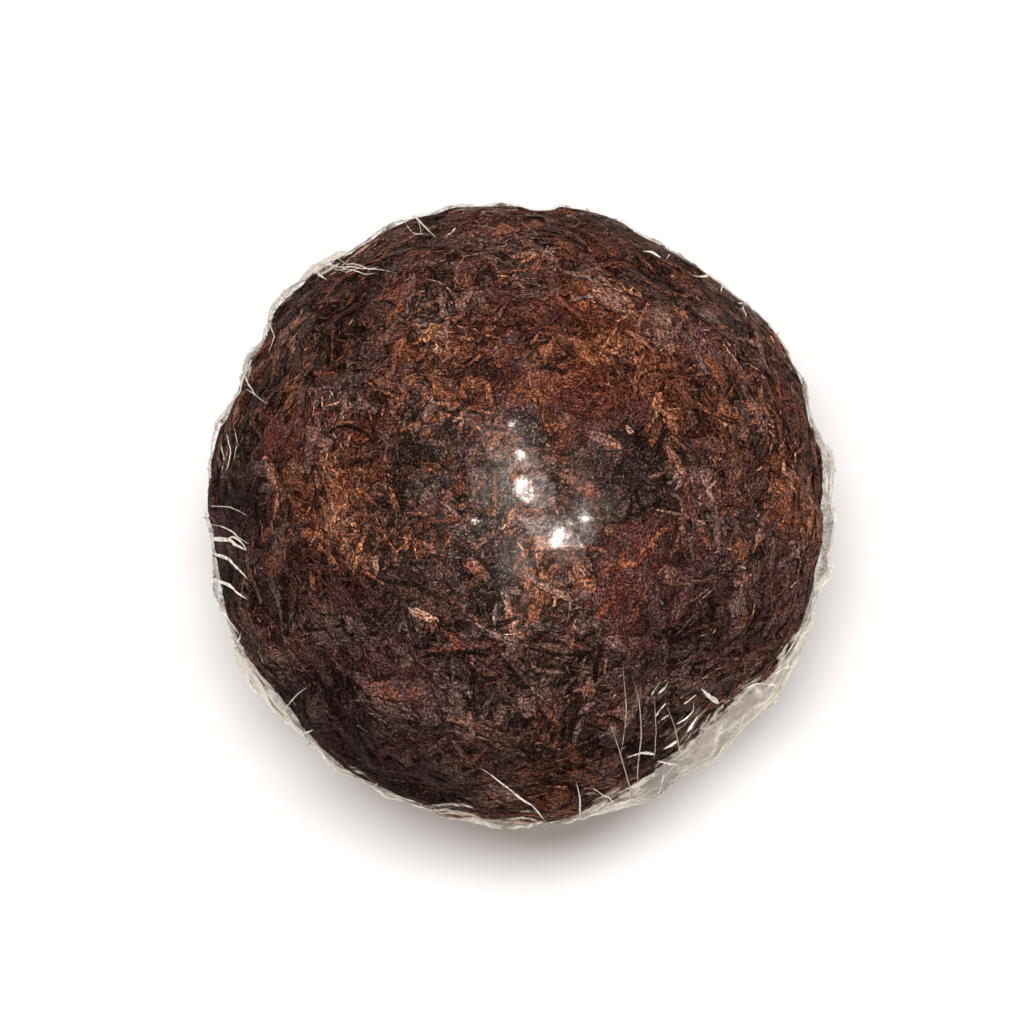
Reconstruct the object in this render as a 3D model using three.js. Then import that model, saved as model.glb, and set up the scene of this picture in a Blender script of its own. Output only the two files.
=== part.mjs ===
// A mushroom of pressed dark tea in clear film: a domed cap on a short stem, standing on the
// stem's flat end. Millimetres, +Z up, origin at the middle of the foot.
import * as THREE from "three";
import { mergeVertices } from "three/addons/utils/BufferGeometryUtils.js";

// The pressed leaf, as a body of revolution
const CAP_RADIUS = 49;
const CAP_RISE = 37;
const RIM_HEIGHT = 50;
const LIP_DROP = 11;
const COVE_RISE = 17;
const NECK_RADIUS = 22;
const NECK_HEIGHT = 24;
const STEM_END_RADIUS = 20;
const FOOT_ROUND = 4.5;

// Swells and flats of the rim, seen from above: where in degrees, half-width in degrees, height
const SWELLS = [
  { at: 111, wide: 11, rise: 1.3 },
  { at: 140, wide: 10, rise: 1.2 },
  { at: 8, wide: 14, rise: 0.5 },
  { at: 205, wide: 18, rise: 0.5 },
];
const FLATS = [
  { at: 66, wide: 24, rise: -0.8 },
  { at: -48, wide: 19, rise: -3.6 },
];

// Leaf crags pressed into the surface
const CRAGS = 320;
const CRAG_LENGTH = [5, 9];
const CRAG_WIDTH = [3, 4.6];
const CRAG_HEIGHT = [0.4, 1.2];
const CRAG_DEPTH = 6;
const CRAG_EDGE = 0.55;
const CRAG_SLANT = 0.8;
const CRAG_SCATTER = 0.25;
const CRAG_MEAN = 0.45;
const CALM_CROWN = 7;

// The film where it stands off the leaf: its wall, its gap, and the pleats that gather it
const FILM_GAP = 0.7;
const FILM_WALL = 0.5;
const PLEATS = 28;
const PLEAT_HEIGHT = 0.7;
const FOLDS = [
  { at: 111, wide: 4, rise: 1 },
  { at: 136, wide: 5, rise: 1.2 },
  { at: 168, wide: 5, rise: 0.8 },
  { at: 192, wide: 5, rise: 1 },
  { at: 217, wide: 4, rise: 0.9 },
  { at: 292, wide: 6, rise: 1.4 },
  { at: 350, wide: 6, rise: 0.8 },
];

// Grid of the solids
const SEGMENTS = 112;
const DOME_ROWS = 25;
const COVE_ROWS = 7;
const STEM_ROWS = 4;
const FOOT_ROWS = 2;
const FILM_ROWS_ABOVE_RIM = 3;
const FILM_ROWS_BELOW_RIM = 7;

const GOLDEN_ANGLE = Math.PI * (3 - Math.sqrt(5));
const point = (radius, height) => new THREE.Vector2(radius, height);
const mix = ([low, high], share) => low + (high - low) * share;

// A fixed draw between 0 and 1 for the number n.
function draw(n) {
  const wave = Math.sin(n * 12.9898) * 43758.5453;
  return wave - Math.floor(wave);
}

// Crown to rim, rim to neck, neck to foot and round the foot to the middle of the sole.
function meridian() {
  const sole = STEM_END_RADIUS - FOOT_ROUND;
  const dome = new THREE.EllipseCurve(0, RIM_HEIGHT, CAP_RADIUS, CAP_RISE, Math.PI / 2, 0, true);
  const cove = new THREE.CubicBezierCurve(
    point(CAP_RADIUS, RIM_HEIGHT),
    point(CAP_RADIUS, RIM_HEIGHT - LIP_DROP),
    point(NECK_RADIUS, NECK_HEIGHT + COVE_RISE),
    point(NECK_RADIUS, NECK_HEIGHT),
  );
  const stem = new THREE.LineCurve(
    point(NECK_RADIUS, NECK_HEIGHT),
    point(STEM_END_RADIUS, FOOT_ROUND),
  );
  const foot = new THREE.EllipseCurve(
    sole, FOOT_ROUND, FOOT_ROUND, FOOT_ROUND, 0, -Math.PI / 2, true,
  );
  return [
    ...dome.getSpacedPoints(DOME_ROWS),
    ...cove.getSpacedPoints(COVE_ROWS).slice(1),
    ...stem.getSpacedPoints(STEM_ROWS).slice(1),
    ...foot.getSpacedPoints(FOOT_ROWS).slice(1),
    point(0, 0),
  ];
}

// Each point of the meridian with the direction that faces out of the leaf there.
function withNormals(points) {
  return points.map((here, k) => {
    const before = points[Math.max(k - 1, 0)];
    const after = points[Math.min(k + 1, points.length - 1)];
    const along = after.clone().sub(before).normalize();
    const onAxis = k === 0 || k === points.length - 1;
    const out = onAxis ? point(0, Math.sign(along.x)) : point(-along.y, along.x);
    return { radius: here.x, height: here.y, out };
  });
}

// A smooth hump for each entry, added up at this azimuth in radians.
function humps(list, azimuth) {
  return list.reduce((sum, { at, wide, rise }) => {
    const away = Math.atan2(
      Math.sin(azimuth - THREE.MathUtils.degToRad(at)),
      Math.cos(azimuth - THREE.MathUtils.degToRad(at)),
    );
    return sum + rise * Math.exp(-((away / THREE.MathUtils.degToRad(wide)) ** 2));
  }, 0);
}

// Full strength at the rim, none at the crown and little on the stem.
const belt = (radius) => Math.min(1, radius / CAP_RADIUS) ** 3;

// Flakes of leaf spread over the whole skin by equal areas, near the points of a golden spiral but
// not on them, most of them lying round the cap as the pressing cloth leaves them.
function makeCrags(rows) {
  const areas = [0];
  for (let k = 1; k < rows.length; k++) {
    const step = Math.hypot(rows[k].radius - rows[k - 1].radius, rows[k].height - rows[k - 1].height);
    areas.push(areas[k - 1] + (step * (rows[k].radius + rows[k - 1].radius)) / 2);
  }
  return Array.from({ length: CRAGS }, (_, n) => {
    const wanted = ((n + draw(n + 0.5)) / CRAGS) * areas.at(-1);
    const k = Math.max(1, areas.findIndex((area) => area >= wanted));
    const share = (wanted - areas[k - 1]) / (areas[k] - areas[k - 1]);
    const radius = mix([rows[k - 1].radius, rows[k].radius], share);
    const height = mix([rows[k - 1].height, rows[k].height], share);
    const azimuth = (n + CRAG_SCATTER * draw(n + 0.6)) * GOLDEN_ANGLE;
    const radial = new THREE.Vector3(Math.cos(azimuth), Math.sin(azimuth), 0);
    const out = radial.clone().multiplyScalar(rows[k].out.x).setZ(rows[k].out.y).normalize();
    const around = new THREE.Vector3(-Math.sin(azimuth), Math.cos(azimuth), 0);
    return {
      centre: radial.clone().multiplyScalar(radius).setZ(height),
      along: around.applyAxisAngle(out, CRAG_SLANT * (2 * draw(n + 0.1) - 1)),
      out,
      length: mix(CRAG_LENGTH, draw(n + 0.2)),
      width: mix(CRAG_WIDTH, draw(n + 0.3)),
      height: mix(CRAG_HEIGHT, draw(n + 0.4)),
    };
  });
}

// Height of the highest crag at a place, less the mean, so that the cap keeps its size.
function cragHeight(crags, place) {
  let highest = 0;
  for (const crag of crags) {
    const away = place.clone().sub(crag.centre);
    const across = crag.out.clone().cross(crag.along);
    const reach = Math.hypot(
      away.dot(crag.along) / crag.length,
      away.dot(across) / crag.width,
      away.dot(crag.out) / CRAG_DEPTH,
    );
    const plateau = 1 - THREE.MathUtils.smoothstep(reach, CRAG_EDGE, 1);
    highest = Math.max(highest, crag.height * plateau);
  }
  return highest - CRAG_MEAN;
}

// How far the leaf stands out of the body of revolution. The crags are low round the crown, where
// the leaf is pressed flat, and all of it fades to nothing on the flat sole.
function leafRelief(crags, row, azimuth) {
  const place = new THREE.Vector3(
    row.radius * Math.cos(azimuth), row.radius * Math.sin(azimuth), row.height,
  );
  const aboveSole = Math.min(1, row.height / FOOT_ROUND);
  const fromCrown = Math.min(1, row.radius / CALM_CROWN);
  const rim = humps([...SWELLS, ...FLATS], azimuth) * belt(row.radius);
  return (rim + cragHeight(crags, place) * fromCrown) * aboveSole;
}

// How far the film stands off the leaf: it bridges the flats and is gathered into pleats, which
// start at the film's upper row and deepen towards the neck.
function filmStand(row, azimuth, share) {
  const bridged = -humps(FLATS, azimuth) * belt(row.radius);
  const pleat = (0.5 + 0.5 * Math.cos(PLEATS * azimuth)) ** 2 * PLEAT_HEIGHT;
  const gathered = (pleat + humps(FOLDS, azimuth)) * Math.sin(Math.PI * Math.sqrt(share));
  return FILM_GAP + bridged + gathered;
}

// A lathe of the given rows, from top to bottom, so it turns clockwise to face out. Each vertex is
// moved outwards by stand(row number, azimuth).
function lathe(rows, stand) {
  const profile = rows.map((row) => point(row.radius, row.height));
  const geometry = new THREE.LatheGeometry(profile, SEGMENTS);
  geometry.deleteAttribute("normal");
  geometry.deleteAttribute("uv");
  const position = geometry.getAttribute("position");
  for (let i = 0; i < position.count; i++) {
    const k = i % rows.length;
    const { radius, height, out } = rows[k];
    const turn = Math.floor(i / rows.length) % SEGMENTS;
    const azimuth = -(turn / SEGMENTS) * 2 * Math.PI;
    const stood = stand(k, azimuth);
    const reach = radius + out.x * stood;
    position.setXYZ(
      i, reach * Math.cos(azimuth), reach * Math.sin(azimuth), height + out.y * stood,
    );
  }
  return mergeVertices(geometry, 1e-4);
}

function leafGeometry(rows, crags) {
  return lathe(rows, (k, azimuth) => leafRelief(crags, rows[k], azimuth));
}

// A ring with an outer and an inner wall, from above the rim, under the cap and to the neck.
function filmGeometry(rows, crags) {
  const first = DOME_ROWS - FILM_ROWS_ABOVE_RIM;
  const last = DOME_ROWS + FILM_ROWS_BELOW_RIM;
  const outer = rows.slice(first, last + 1);
  const loop = [...outer, ...outer.toReversed(), outer[0]];
  return lathe(loop, (k, azimuth) => {
    const isOuter = k < outer.length || k === loop.length - 1;
    const place = isOuter ? k % (loop.length - 1) : loop.length - 2 - k;
    const row = outer[place];
    const stood = leafRelief(crags, row, azimuth) + filmStand(row, azimuth, place / (outer.length - 1));
    return isOuter ? stood + FILM_WALL : stood;
  });
}

function mesh(name, geometry, look) {
  const made = new THREE.Mesh(geometry, new THREE.MeshStandardMaterial(look));
  made.name = name;
  return made;
}

const rows = withNormals(meridian());
const crags = makeCrags(rows);
const teaMushroom = new THREE.Group();
teaMushroom.add(
  mesh("tea", leafGeometry(rows, crags), { color: 0x3b2620, roughness: 0.75, metalness: 0 }),
  mesh("film", filmGeometry(rows, crags), {
    color: 0xd8d2c8, roughness: 0.15, metalness: 0, transparent: true, opacity: 0.35,
  }),
);

export default teaMushroom;
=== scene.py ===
"""A mushroom of pressed dark tea leaf in clear film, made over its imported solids."""

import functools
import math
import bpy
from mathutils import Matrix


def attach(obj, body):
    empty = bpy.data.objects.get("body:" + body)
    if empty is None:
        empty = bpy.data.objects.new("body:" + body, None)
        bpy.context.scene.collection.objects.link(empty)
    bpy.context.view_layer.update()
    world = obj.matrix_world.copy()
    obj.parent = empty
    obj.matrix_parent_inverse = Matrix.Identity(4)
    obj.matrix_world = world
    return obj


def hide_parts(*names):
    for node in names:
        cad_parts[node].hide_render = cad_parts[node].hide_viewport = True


bl_info = {
    "name": "Pressed tea mushroom",
    "version": (1, 0, 0),
    "blender": (4, 5, 0),
    "location": "View3D > Sidebar > Tea",
    "description": "Makes the leaf, the clear film and the stage of a film-wrapped mushroom of pressed tea",
    "category": "Add Mesh",
}

from collections import namedtuple

import bpy
import numpy as np
from bpy.props import FloatProperty, FloatVectorProperty, IntProperty, PointerProperty
from mathutils import Vector

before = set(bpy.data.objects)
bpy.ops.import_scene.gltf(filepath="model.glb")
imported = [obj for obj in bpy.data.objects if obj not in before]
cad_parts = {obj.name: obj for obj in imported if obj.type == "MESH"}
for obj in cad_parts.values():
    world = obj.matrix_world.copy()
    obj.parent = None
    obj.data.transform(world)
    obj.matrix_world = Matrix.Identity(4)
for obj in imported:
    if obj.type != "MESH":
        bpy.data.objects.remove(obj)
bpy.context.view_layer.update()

BODY = "root"
MM = 0.001
GOLDEN_ANGLE = math.pi * (3 - math.sqrt(5))
CHUNK = 8192

# Texture sheets: half-size and middle of the dome's square, height of the skirt's strip, share of a spindle's
# cell for each tip, and edge and inner share of the cell
BAKE_HALF = (0.495, 0.325)
BAKE_MIDDLE = (0.5, 0.67)
BAKE_SKIRT = 0.33
BAKE_TIP = 0.1
BAKE_EDGE = 0.04
BAKE_INNER = 0.92

# Outline of the solids: even steps on the dome, cove, stem, foot and sole, as in the part and finer
SOLID_STEPS = (25, 7, 4, 2, 1)
FINE_STEPS = (560, 340, 160, 60, 120)
SOLID_FILM_ROWS = (3, 7)

# Swells and flats of the rim: azimuth and half-width in degrees, height in millimetres
SWELLS = ((111, 11, 1.3), (140, 10, 1.2), (8, 14, 0.5), (205, 18, 0.5))
FLATS = ((66, 24, -0.8), (-48, 19, -3.6))

# Leaf crags of the solids, in millimetres
CRAGS = 320
CRAG_LENGTH = (5, 9)
CRAG_WIDTH = (3, 4.6)
CRAG_HEIGHT = (0.4, 1.2)
CRAG_DEPTH = 6
CRAG_EDGE = 0.55
CRAG_SLANT = 0.8
CRAG_SCATTER = 0.25
CRAG_MEAN = 0.45
CALM_CROWN = 7

# The solids' fixed draws: turn for each number, and scale of the sine
DRAW_TURN = 12.9898
DRAW_SCALE = 43758.5453

# Folds of the film round the rim: azimuth and half-width in degrees, height in millimetres
FOLDS = (
    (111, 4, 1), (136, 5, 1.2), (168, 5, 0.8), (192, 5, 1), (217, 4, 0.9), (292, 6, 1.4), (350, 6, 0.8),
)

# Width of the photograph's frame in pixels, in which creases, single leaves and spots of the film are placed
PICTURE = 1024
# Rounds of guessing where a line of sight meets the dome
SIGHT_ROUNDS = 12

# Creases of the film on the cap: points in the photograph's pixels, width and height in millimetres
CREASES = (
    (((395, 213), (415, 224), (440, 245)), 0.55, 0.4),
    (((405, 208), (420, 222), (424, 240), (414, 243)), 0.3, 0.3),
    (((295, 285), (330, 274), (385, 275)), 0.45, 0.4),
    (((322, 268), (352, 280), (372, 272)), 0.3, 0.3),
    (((295, 277), (315, 279), (333, 287)), 1.1, 0.4),
    (((330, 267), (365, 273), (400, 281)), 0.25, 0.3),
    (((337, 276), (358, 278), (380, 279)), 0.25, 0.3),
    (((395, 221), (417, 241), (433, 241)), 0.3, 0.3),
    (((445, 242), (452, 238), (457, 232)), 0.3, 0.3),
    (((285, 299), (277, 321), (280, 341), (272, 357)), 0.35, 0.35),
    (((260, 334), (255, 354), (253, 371)), 0.4, 0.35),
    (((250, 391), (262, 398), (273, 407)), 0.3, 0.3),
    (((250, 370), (252, 386), (260, 400)), 0.5, 0.4),
    (((234, 436), (238, 452), (234, 472)), 0.35, 0.3),
    (((229, 446), (232, 460), (229, 478)), 0.3, 0.3),
    (((241, 430), (244, 446), (240, 462)), 0.3, 0.3),
    (((213, 506), (232, 507), (250, 516)), 0.3, 0.3),
    (((219, 524), (236, 532), (256, 544)), 0.35, 0.3),
    (((216, 538), (234, 540), (254, 550)), 1.5, 0.4),
    (((220, 552), (238, 562), (255, 578)), 1.2, 0.4),
    (((218, 572), (236, 584), (254, 598)), 1.3, 0.4),
    (((246, 666), (262, 686), (286, 704)), 1.3, 0.4),
    (((290, 704), (300, 692), (310, 685)), 0.35, 0.3),
    (((545, 812), (512, 790), (480, 765)), 0.4, 0.35),
    (((608, 718), (619, 750), (633, 798)), 0.32, 0.4),
    (((622, 662), (626, 710), (620, 750)), 0.22, 0.3),
    (((631, 673), (640, 701), (641, 753), (637, 798)), 0.3, 0.4),
    (((656, 698), (660, 740), (657, 766)), 0.25, 0.3),
    (((670, 708), (681, 736), (686, 773)), 0.32, 0.4),
    (((658, 721), (664, 714), (670, 707)), 0.4, 0.3),
    (((661, 728), (668, 724), (674, 721)), 0.25, 0.3),
    (((653, 698), (658, 690), (662, 683)), 0.4, 0.35),
    (((660, 696), (666, 689), (670, 683)), 0.5, 0.35),
    (((626, 757), (640, 757), (658, 760)), 1.1, 0.4),
    (((666, 754), (675, 751), (682, 747)), 0.8, 0.4),
    (((660, 768), (670, 768), (679, 766)), 0.6, 0.4),
    (((687, 708), (693, 702), (699, 697)), 0.4, 0.3),
    (((681, 732), (691, 725), (698, 715), (697, 705)), 0.4, 0.35),
    (((703, 690), (714, 701), (730, 714)), 1.3, 0.4),
    (((693, 740), (700, 733), (708, 725)), 1.1, 0.4),
    (((767, 678), (780, 665), (796, 655)), 0.9, 0.5),
    (((752, 694), (760, 686), (770, 680)), 0.6, 0.4),
    (((589, 783), (606, 794), (626, 808)), 0.4, 0.35),
    (((576, 781), (579, 793), (578, 806)), 0.5, 0.4),
    (((641, 254), (650, 257), (659, 262)), 0.4, 0.35),
    (((664, 263), (667, 259), (668, 255)), 0.3, 0.3),
    (((692, 276), (704, 277), (717, 281)), 0.8, 0.4),
    (((719, 284), (728, 291), (735, 300)), 0.5, 0.4),
    (((739, 309), (741, 316), (742, 323)), 0.3, 0.3),
    (((746, 305), (750, 313), (752, 321)), 0.35, 0.3),
    (((762, 325), (770, 335), (776, 348)), 0.4, 0.35),
    (((822, 470), (827, 490), (824, 512)), 0.7, 0.4),
    (((824, 520), (828, 548), (822, 576)), 0.8, 0.4),
    (((820, 580), (824, 604), (816, 632)), 0.7, 0.4),
)

# Where the film round the rim is crumpled and pale: azimuth and half-width in degrees, strength
PALE_SIDES = (
    (-46, 22, 1.0), (219, 26, 1.0), (262, 18, 0.4), (0, 22, 1.0), (50, 20, 0.3), (95, 14, 0.4),
    (126, 9, 0.4), (151, 14, 0.5),
)

# Where the film spans a dip between two swells: azimuth and half-width in degrees, height in millimetres
SPANS = ((126, 8, 0.6),)

# How far the leaf fills the film's room round the rim, and how far from the rim, in millimetres
SNUG = 1.05
SNUG_REACH = 9.0
# How much of that room the film gives up, and how much of its pleats, where the leaf is snug
SNUG_ROOM = 0.65
SNUG_PLEATS = 0.5

# Where the leaf fills the film's room less (+) or more (-): azimuth and half-width in degrees, share
LOOSE_SIDES = (
    (-48, 24, 1.0), (219, 27, 1.4), (268, 18, 0.4), (2, 18, 2.1), (95, 12, 0.4), (66, 22, -0.4),
    (152, 13, 0.9),
)

# Where the loose film is clear: azimuth and half-width in degrees, strength
CLEAR_SIDES = ((-61, 9, 0.8),)

# Where the crown is hazy, and where it glints: photograph's pixel, reach in mm, strength
HAZES = (
    (578, 522, 3.6, 1.2), (548, 528, 4.5, 1.2), (535, 588, 5.0, 0.6), (525, 480, 4.5, 0.8),
    (497, 450, 5.0, 0.4),
)
GLINTS = (
    (512, 427, 1.1, 0.9), (519, 456, 1.3, 1.0), (521, 486, 2.2, 0.9), (527, 498, 1.2, 0.8),
    (530, 526, 1.5, 0.9), (563, 541, 3.0, 1.0), (576, 555, 1.6, 1.0), (585, 516, 1.1, 0.9),
    (584, 594, 1.7, 0.9), (476, 521, 1.0, 0.8), (560, 562, 1.0, 0.8), (520, 592, 1.2, 0.7),
)

# Where the film is milky on the cap: photograph's pixel, reach in mm, strength
MILKY_PATCHES = (
    (672, 764, 3.0, 0.4), (640, 798, 3.0, 0.4), (600, 803, 3.0, 0.4), (690, 745, 2.4, 0.4),
    (706, 726, 2.0, 0.3),
)

# Single leaves that stand out: photograph's pixel, heading, length and width in mm, tone and redness
SINGLE_LEAVES = (
    (690, 495, 95, 9.0, 1.4, 0.55, 0.8), (462, 648, 7, 14.0, 1.3, 0.50, 0.6),
    (424, 614, -20, 5.5, 2.0, 0.92, 0.0), (469, 616, -38, 3.6, 1.2, 0.80, 0.2),
    (521, 546, -60, 2.0, 1.0, 0.85, 0.0), (476, 571, -35, 5.0, 2.5, 0.62, 0.4),
    (400, 690, 5, 12.0, 4.0, 0.52, 0.3), (605, 440, -23, 6.5, 2.0, 0.76, 0.2),
    (629, 430, -30, 2.0, 0.9, 0.92, 0.0), (674, 462, -60, 6.0, 1.6, 0.70, 0.5),
    (279, 506, 80, 4.5, 1.1, 0.66, 0.3), (377, 564, 90, 3.6, 1.0, 0.82, 0.1),
    (356, 436, -25, 7.0, 0.7, 0.02, 0.0), (405, 582, -8, 10.0, 1.0, 0.02, 0.0),
    (662, 452, 80, 7.0, 0.9, 0.02, 0.0), (455, 656, 3, 11.0, 0.8, 0.02, 0.0),
    (560, 648, -4, 12.0, 0.8, 0.02, 0.0), (600, 668, 85, 9.0, 0.9, 0.02, 0.0),
    (470, 552, -30, 6.0, 0.8, 0.02, 0.0), (500, 622, 20, 6.0, 1.0, 0.02, 0.0),
    (428, 455, -40, 8.0, 0.7, 0.02, 0.0), (330, 625, 15, 9.0, 0.8, 0.02, 0.0),
    (610, 515, 60, 6.0, 0.8, 0.02, 0.0), (560, 372, -12, 8.0, 0.7, 0.02, 0.0),
)

# Patches of the cap that are lighter (+) or darker (-), seen from above: x, y, reach in mm, strength
TONE_PATCHES = (
    (-31, -3, 10, 1.6), (17, 30, 10, 0.4), (7, 17, 8, 0.7), (-12, 20, 10, 0.6), (42, 1, 10, 0.8),
    (-4, 35, 9, 0.4), (24, 18, 9, 0.9), (5, -12, 7, 1.2), (-15, -38, 14, -0.8), (15, 5, 8, -1.8),
    (-17, 5, 6, -1.2), (0, 6, 28, 0.2), (-20, 33, 8, -0.35), (28, 32, 8, -0.5), (23, 14, 5, 0.3),
    (5, 14, 5, 0.3), (35, 15, 8, 0.8), (9, 30, 8, 0.5), (5, -33, 6, 0.5), (-21, -36, 6, -0.4),
    (14, -37, 6, -0.7), (32, -5, 6, -0.7), (26, -32, 12, -0.6), (-46, -2, 11, -1.7), (-32, -33, 10, -1.2),
    (-23, -14, 6, -1.1), (-29, 31, 9, -0.7), (12, 43, 8, -0.5), (-41, -14, 6, -0.8), (-28, -34, 7, -0.4),
    (-23, 9, 5, 0.4), (-13, -5, 5, 0.4), (5, -5, 4, 0.5), (14, 5, 4, -0.4), (-14, 14, 5, 0.4),
    (41, -7, 6, 0.5), (14, 24, 5, 0.4), (-15, -41, 6, -0.4),
)
# Patches that are redder (+) than the rest
RED_PATCHES = ((19, -12, 7, 1.6), (7, 17, 9, 1.0), (-14, -30, 6, 0.6), (-4, 22, 6, 0.5), (40, -14, 6, 0.6))
# Patches that are more orange (+) or more grey (-)
WARM_PATCHES = (
    (14, 18, 12, 0.4), (-10, -22, 16, -0.5), (-30, -28, 11, -0.5), (18, -26, 12, -0.35), (-4, 38, 9, -0.4),
    (-20, -2, 8, 0.35), (35, -8, 11, -0.55), (34, 26, 9, -0.3), (8, 42, 8, 0.3), (-30, 32, 8, 0.2),
)

Sizes = namedtuple(
    "Sizes",
    "cap_radius cap_rise rim_height lip_drop cove_rise neck_radius neck_height stem_end_radius foot_round",
)
Crags = namedtuple("Crags", "centre along across out length width height")
Grid = namedtuple("Grid", "azimuth run faces bake ring skirt_runs")
# A kind of leaf litter: limits of its sizes, shares of its rings, points round a ring, and how blunt, ragged,
# tilted, sunk, varied in tone and sharp-edged it is
Kind = namedtuple("Kind", "name length width thick shares around blunt rag lift sink spread sharp")
FLAKE = Kind(
    "leaf_flakes", (3.2, 9.0), (1.5, 4.2), (0.12, 0.24), (0.05, 0.27, 0.5, 0.73, 0.95), 6, 0.4, 0.5, 0.07,
    (-0.16, 0.16), 0.1, 40,
)
STRIP = Kind(
    "leaf_strips", (3.5, 11.0), (0.5, 1.5), (0.16, 0.34), (0.08, 0.36, 0.64, 0.92), 6, 0.5, 0.3, 0.05,
    (-0.16, 0.16), 0.115, 60,
)
TWIG = Kind(
    "leaf_twigs", (5.0, 12.0), (0.7, 1.4), (0.3, 0.55), (0.01, 0.2, 0.4, 0.6, 0.8, 0.99), 8, 0.12, 0.12, 0.02,
    (-0.16, 0.16), 0.12, 60,
)
SHRED = Kind(
    "leaf_shreds", (0.8, 3.4), (0.25, 0.7), (0.1, 0.22), (0.15, 0.85), 4, 0.4, 0.4, 0.1,
    (-0.05, 0.2), 0.2, 30,
)
SINGLE = FLAKE._replace(name="leaf_singles", rag=0.2, lift=0.03, sink=(0.16, 0.24))
SINGLE_THICK = 0.3
SINGLE_WARMTH = 0.55

# Litter: share of it under the rim and how far under, spread of the azimuths in radians, bow as a share of
# the length, curl, share of the tilt that pitches a piece, highest point in mm, and less of it where snug
UNDER_RIM_SHARE = 0.55
UNDER_RIM = 6
AZIMUTH_SPREAD = 0.35
BOW = 0.07
CURL = 0.05
PITCH_SHARE = 0.6
LITTER_TOP = 0.55
LITTER_TOP_SNUG = 0.35
# Spread of the headings in radians at the crown and at the rim
HEADING_SPREAD = (1.3, 0.5)
FIBRE_SHEET = 60

# Tone of the leaf: its middle, and how far patches move it and the painted shade of hollows and slopes
# lowers it
TONE_MIDDLE = 0.49
TONE_OF_PATCH = 0.18
HOLLOW_SHADE = 0.2
SLOPE_SHADE = 0.16
# Painted shade on the slopes of crags: step in mm for the steepness, where it sets in, and its even and
# uneven shares
SLOPE_STEP = 0.4
SLOPE_LIMITS = (0.15, 0.6)
SLOPE_EVEN = 0.6
SLOPE_UNEVEN = 0.4
BROAD_TONE = 0.05
FINE_TONE = 0.02
TONE_LIMITS = (0.02, 0.98)
# Heights in mm between which the cap's patches set in
PATCH_HEIGHTS = (45, 55)
# Warmth of the leaf: its middle, and how far patches, red patches, clouds, a piece's tone and chance move it
WARM_MIDDLE = 0.42
WARM_OF_PATCH = 0.4
WARM_OF_RED = 0.1
WARM_OF_CLOUD = 0.12
WARM_OF_TONE = 0.2
WARM_SPREAD = 0.27
RED_OF_CLOUD = 0.25
RED_SPREAD = 0.25

# Body of the leaf: cells of the dome's square, steps down the skirt, spread of its tone, and how far its tone
# is lowered, as painted shade where it shows between the litter, and moved by a cloud
BODY_SIDE = 256
BODY_STEPS = (21, 8, 3)
BODY_SPREAD = 0.03
BODY_GAP_SHADE = 0.18
BODY_CLOUD = 0.05
# Its ridges and grain, and how far it lies under the litter and inside the sole, in mm
RIDGE_HEIGHT = 0.2
GRAIN_HEIGHT = 0.13
BODY_SINK = 0.1
SOLE_SINK = 0.3

# Finish of the litter: where the painted shade at its border starts, how steeply, how dark it is, and how far
# the tone of the whole piece is lowered
BORDER_START = 0.68
BORDER_STEEP = 3.2
BORDER_SHADE = 0.55
LITTER_DARKER = 0.035
# Finish of the body's shreds: wobble and its reach in mm, cells to the mm, turn in radians, and how steep and
# dark the painted shade in the gaps between them is
SHRED_WOBBLE = 0.5
SHRED_WOBBLE_REACH = 2.0
SHRED_CELLS = 0.42
SHRED_TURN = 12.0
GAP_STEEP = 7.0
GAP_SHADE = 0.25
# Lumps: wobble and its reach in mm, cells to the mm, strength at the crown, its loss for each mm, its least,
# and how steep the painted shade in the cracks between them is
LUMP_WOBBLE = 0.55
LUMP_WOBBLE_REACH = 2.6
LUMP_CELLS = 0.34
LUMPY_CROWN = 1.3
LUMPY_FADE = 0.035
LUMPY_LEAST = 0.25
CRACK_STEEP = 8.0
# Waves to the mm of strands and fibres, along and across them
STRAND_WAVES = (0.8, 2.3, 1.7)
FIBRE_WAVES = (1.9, 3.4, 3.0)
# How far each pattern moves the tone, and the warmth
STRAND_TONE = 0.8
MOTTLE_TONE = 0.2
TONE_LIFT = 0.06
LUMP_TONE = 0.35
# The cracks between lumps are painted shade
CRACK_SHADE = 0.42
NOISE_WARMTH = 1.8
LUMP_WARMTH = 0.7
RED_MOTTLE = 1.6
RED_MOST = 0.65
# Share of the fibres in the grain, and the light that the grain gives: place on the ramp, factor
FIBRE_GRAIN = 0.65
GRAIN_LIGHT = ((0.355, 0.05), (0.49, 0.90), (0.625, 2.9))
# Pale specks of painted glint: strength at the crown, its loss for each mm, and where in the noise they start
# and how steeply
GLINT_SPECKS_CROWN = 1.1
GLINT_SPECKS_FADE = 0.04
GLINT_SPECKS_MOTTLE = 1.4
GLINT_SPECKS_START = 0.665
GLINT_SPECKS_STEEP = 9.0
# Keeps the level part of a place
LEVEL = (1, 1, 0)

# Film: cells of the dome's square, rounds of tightening, steps down the skirt, how far in mm the first of
# them reach, and the pleats on the stem
FILM_SIDE = 224
FILM_ROUNDS = 16
FILM_STEPS = (25, 13, 8, 3)
FILM_FINE = 14
STEM_PLEATS = 21
# Shape of the film. Runs are in mm under the rim, above it negative, and heights in mm.
CRUMPLE_BELT = (-7, 0)
CRUMPLE_END = (8, 22)
CRUMPLE_SHARP = 1.3
CRUMPLE_HEIGHT = 0.35
SMALL_CRUMPLE_HEIGHT = 0.25
CRUMPLE_SINK = 0.3
WAVE_HEIGHT = 0.075
SMALL_WAVE_HEIGHT = 0.025
STEM_START = 6
STEM_PLEAT_HALF = 0.25
STEM_WANDER = 0.8
STEM_CREST_POWER = 6
CREST_POWER = 10
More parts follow.
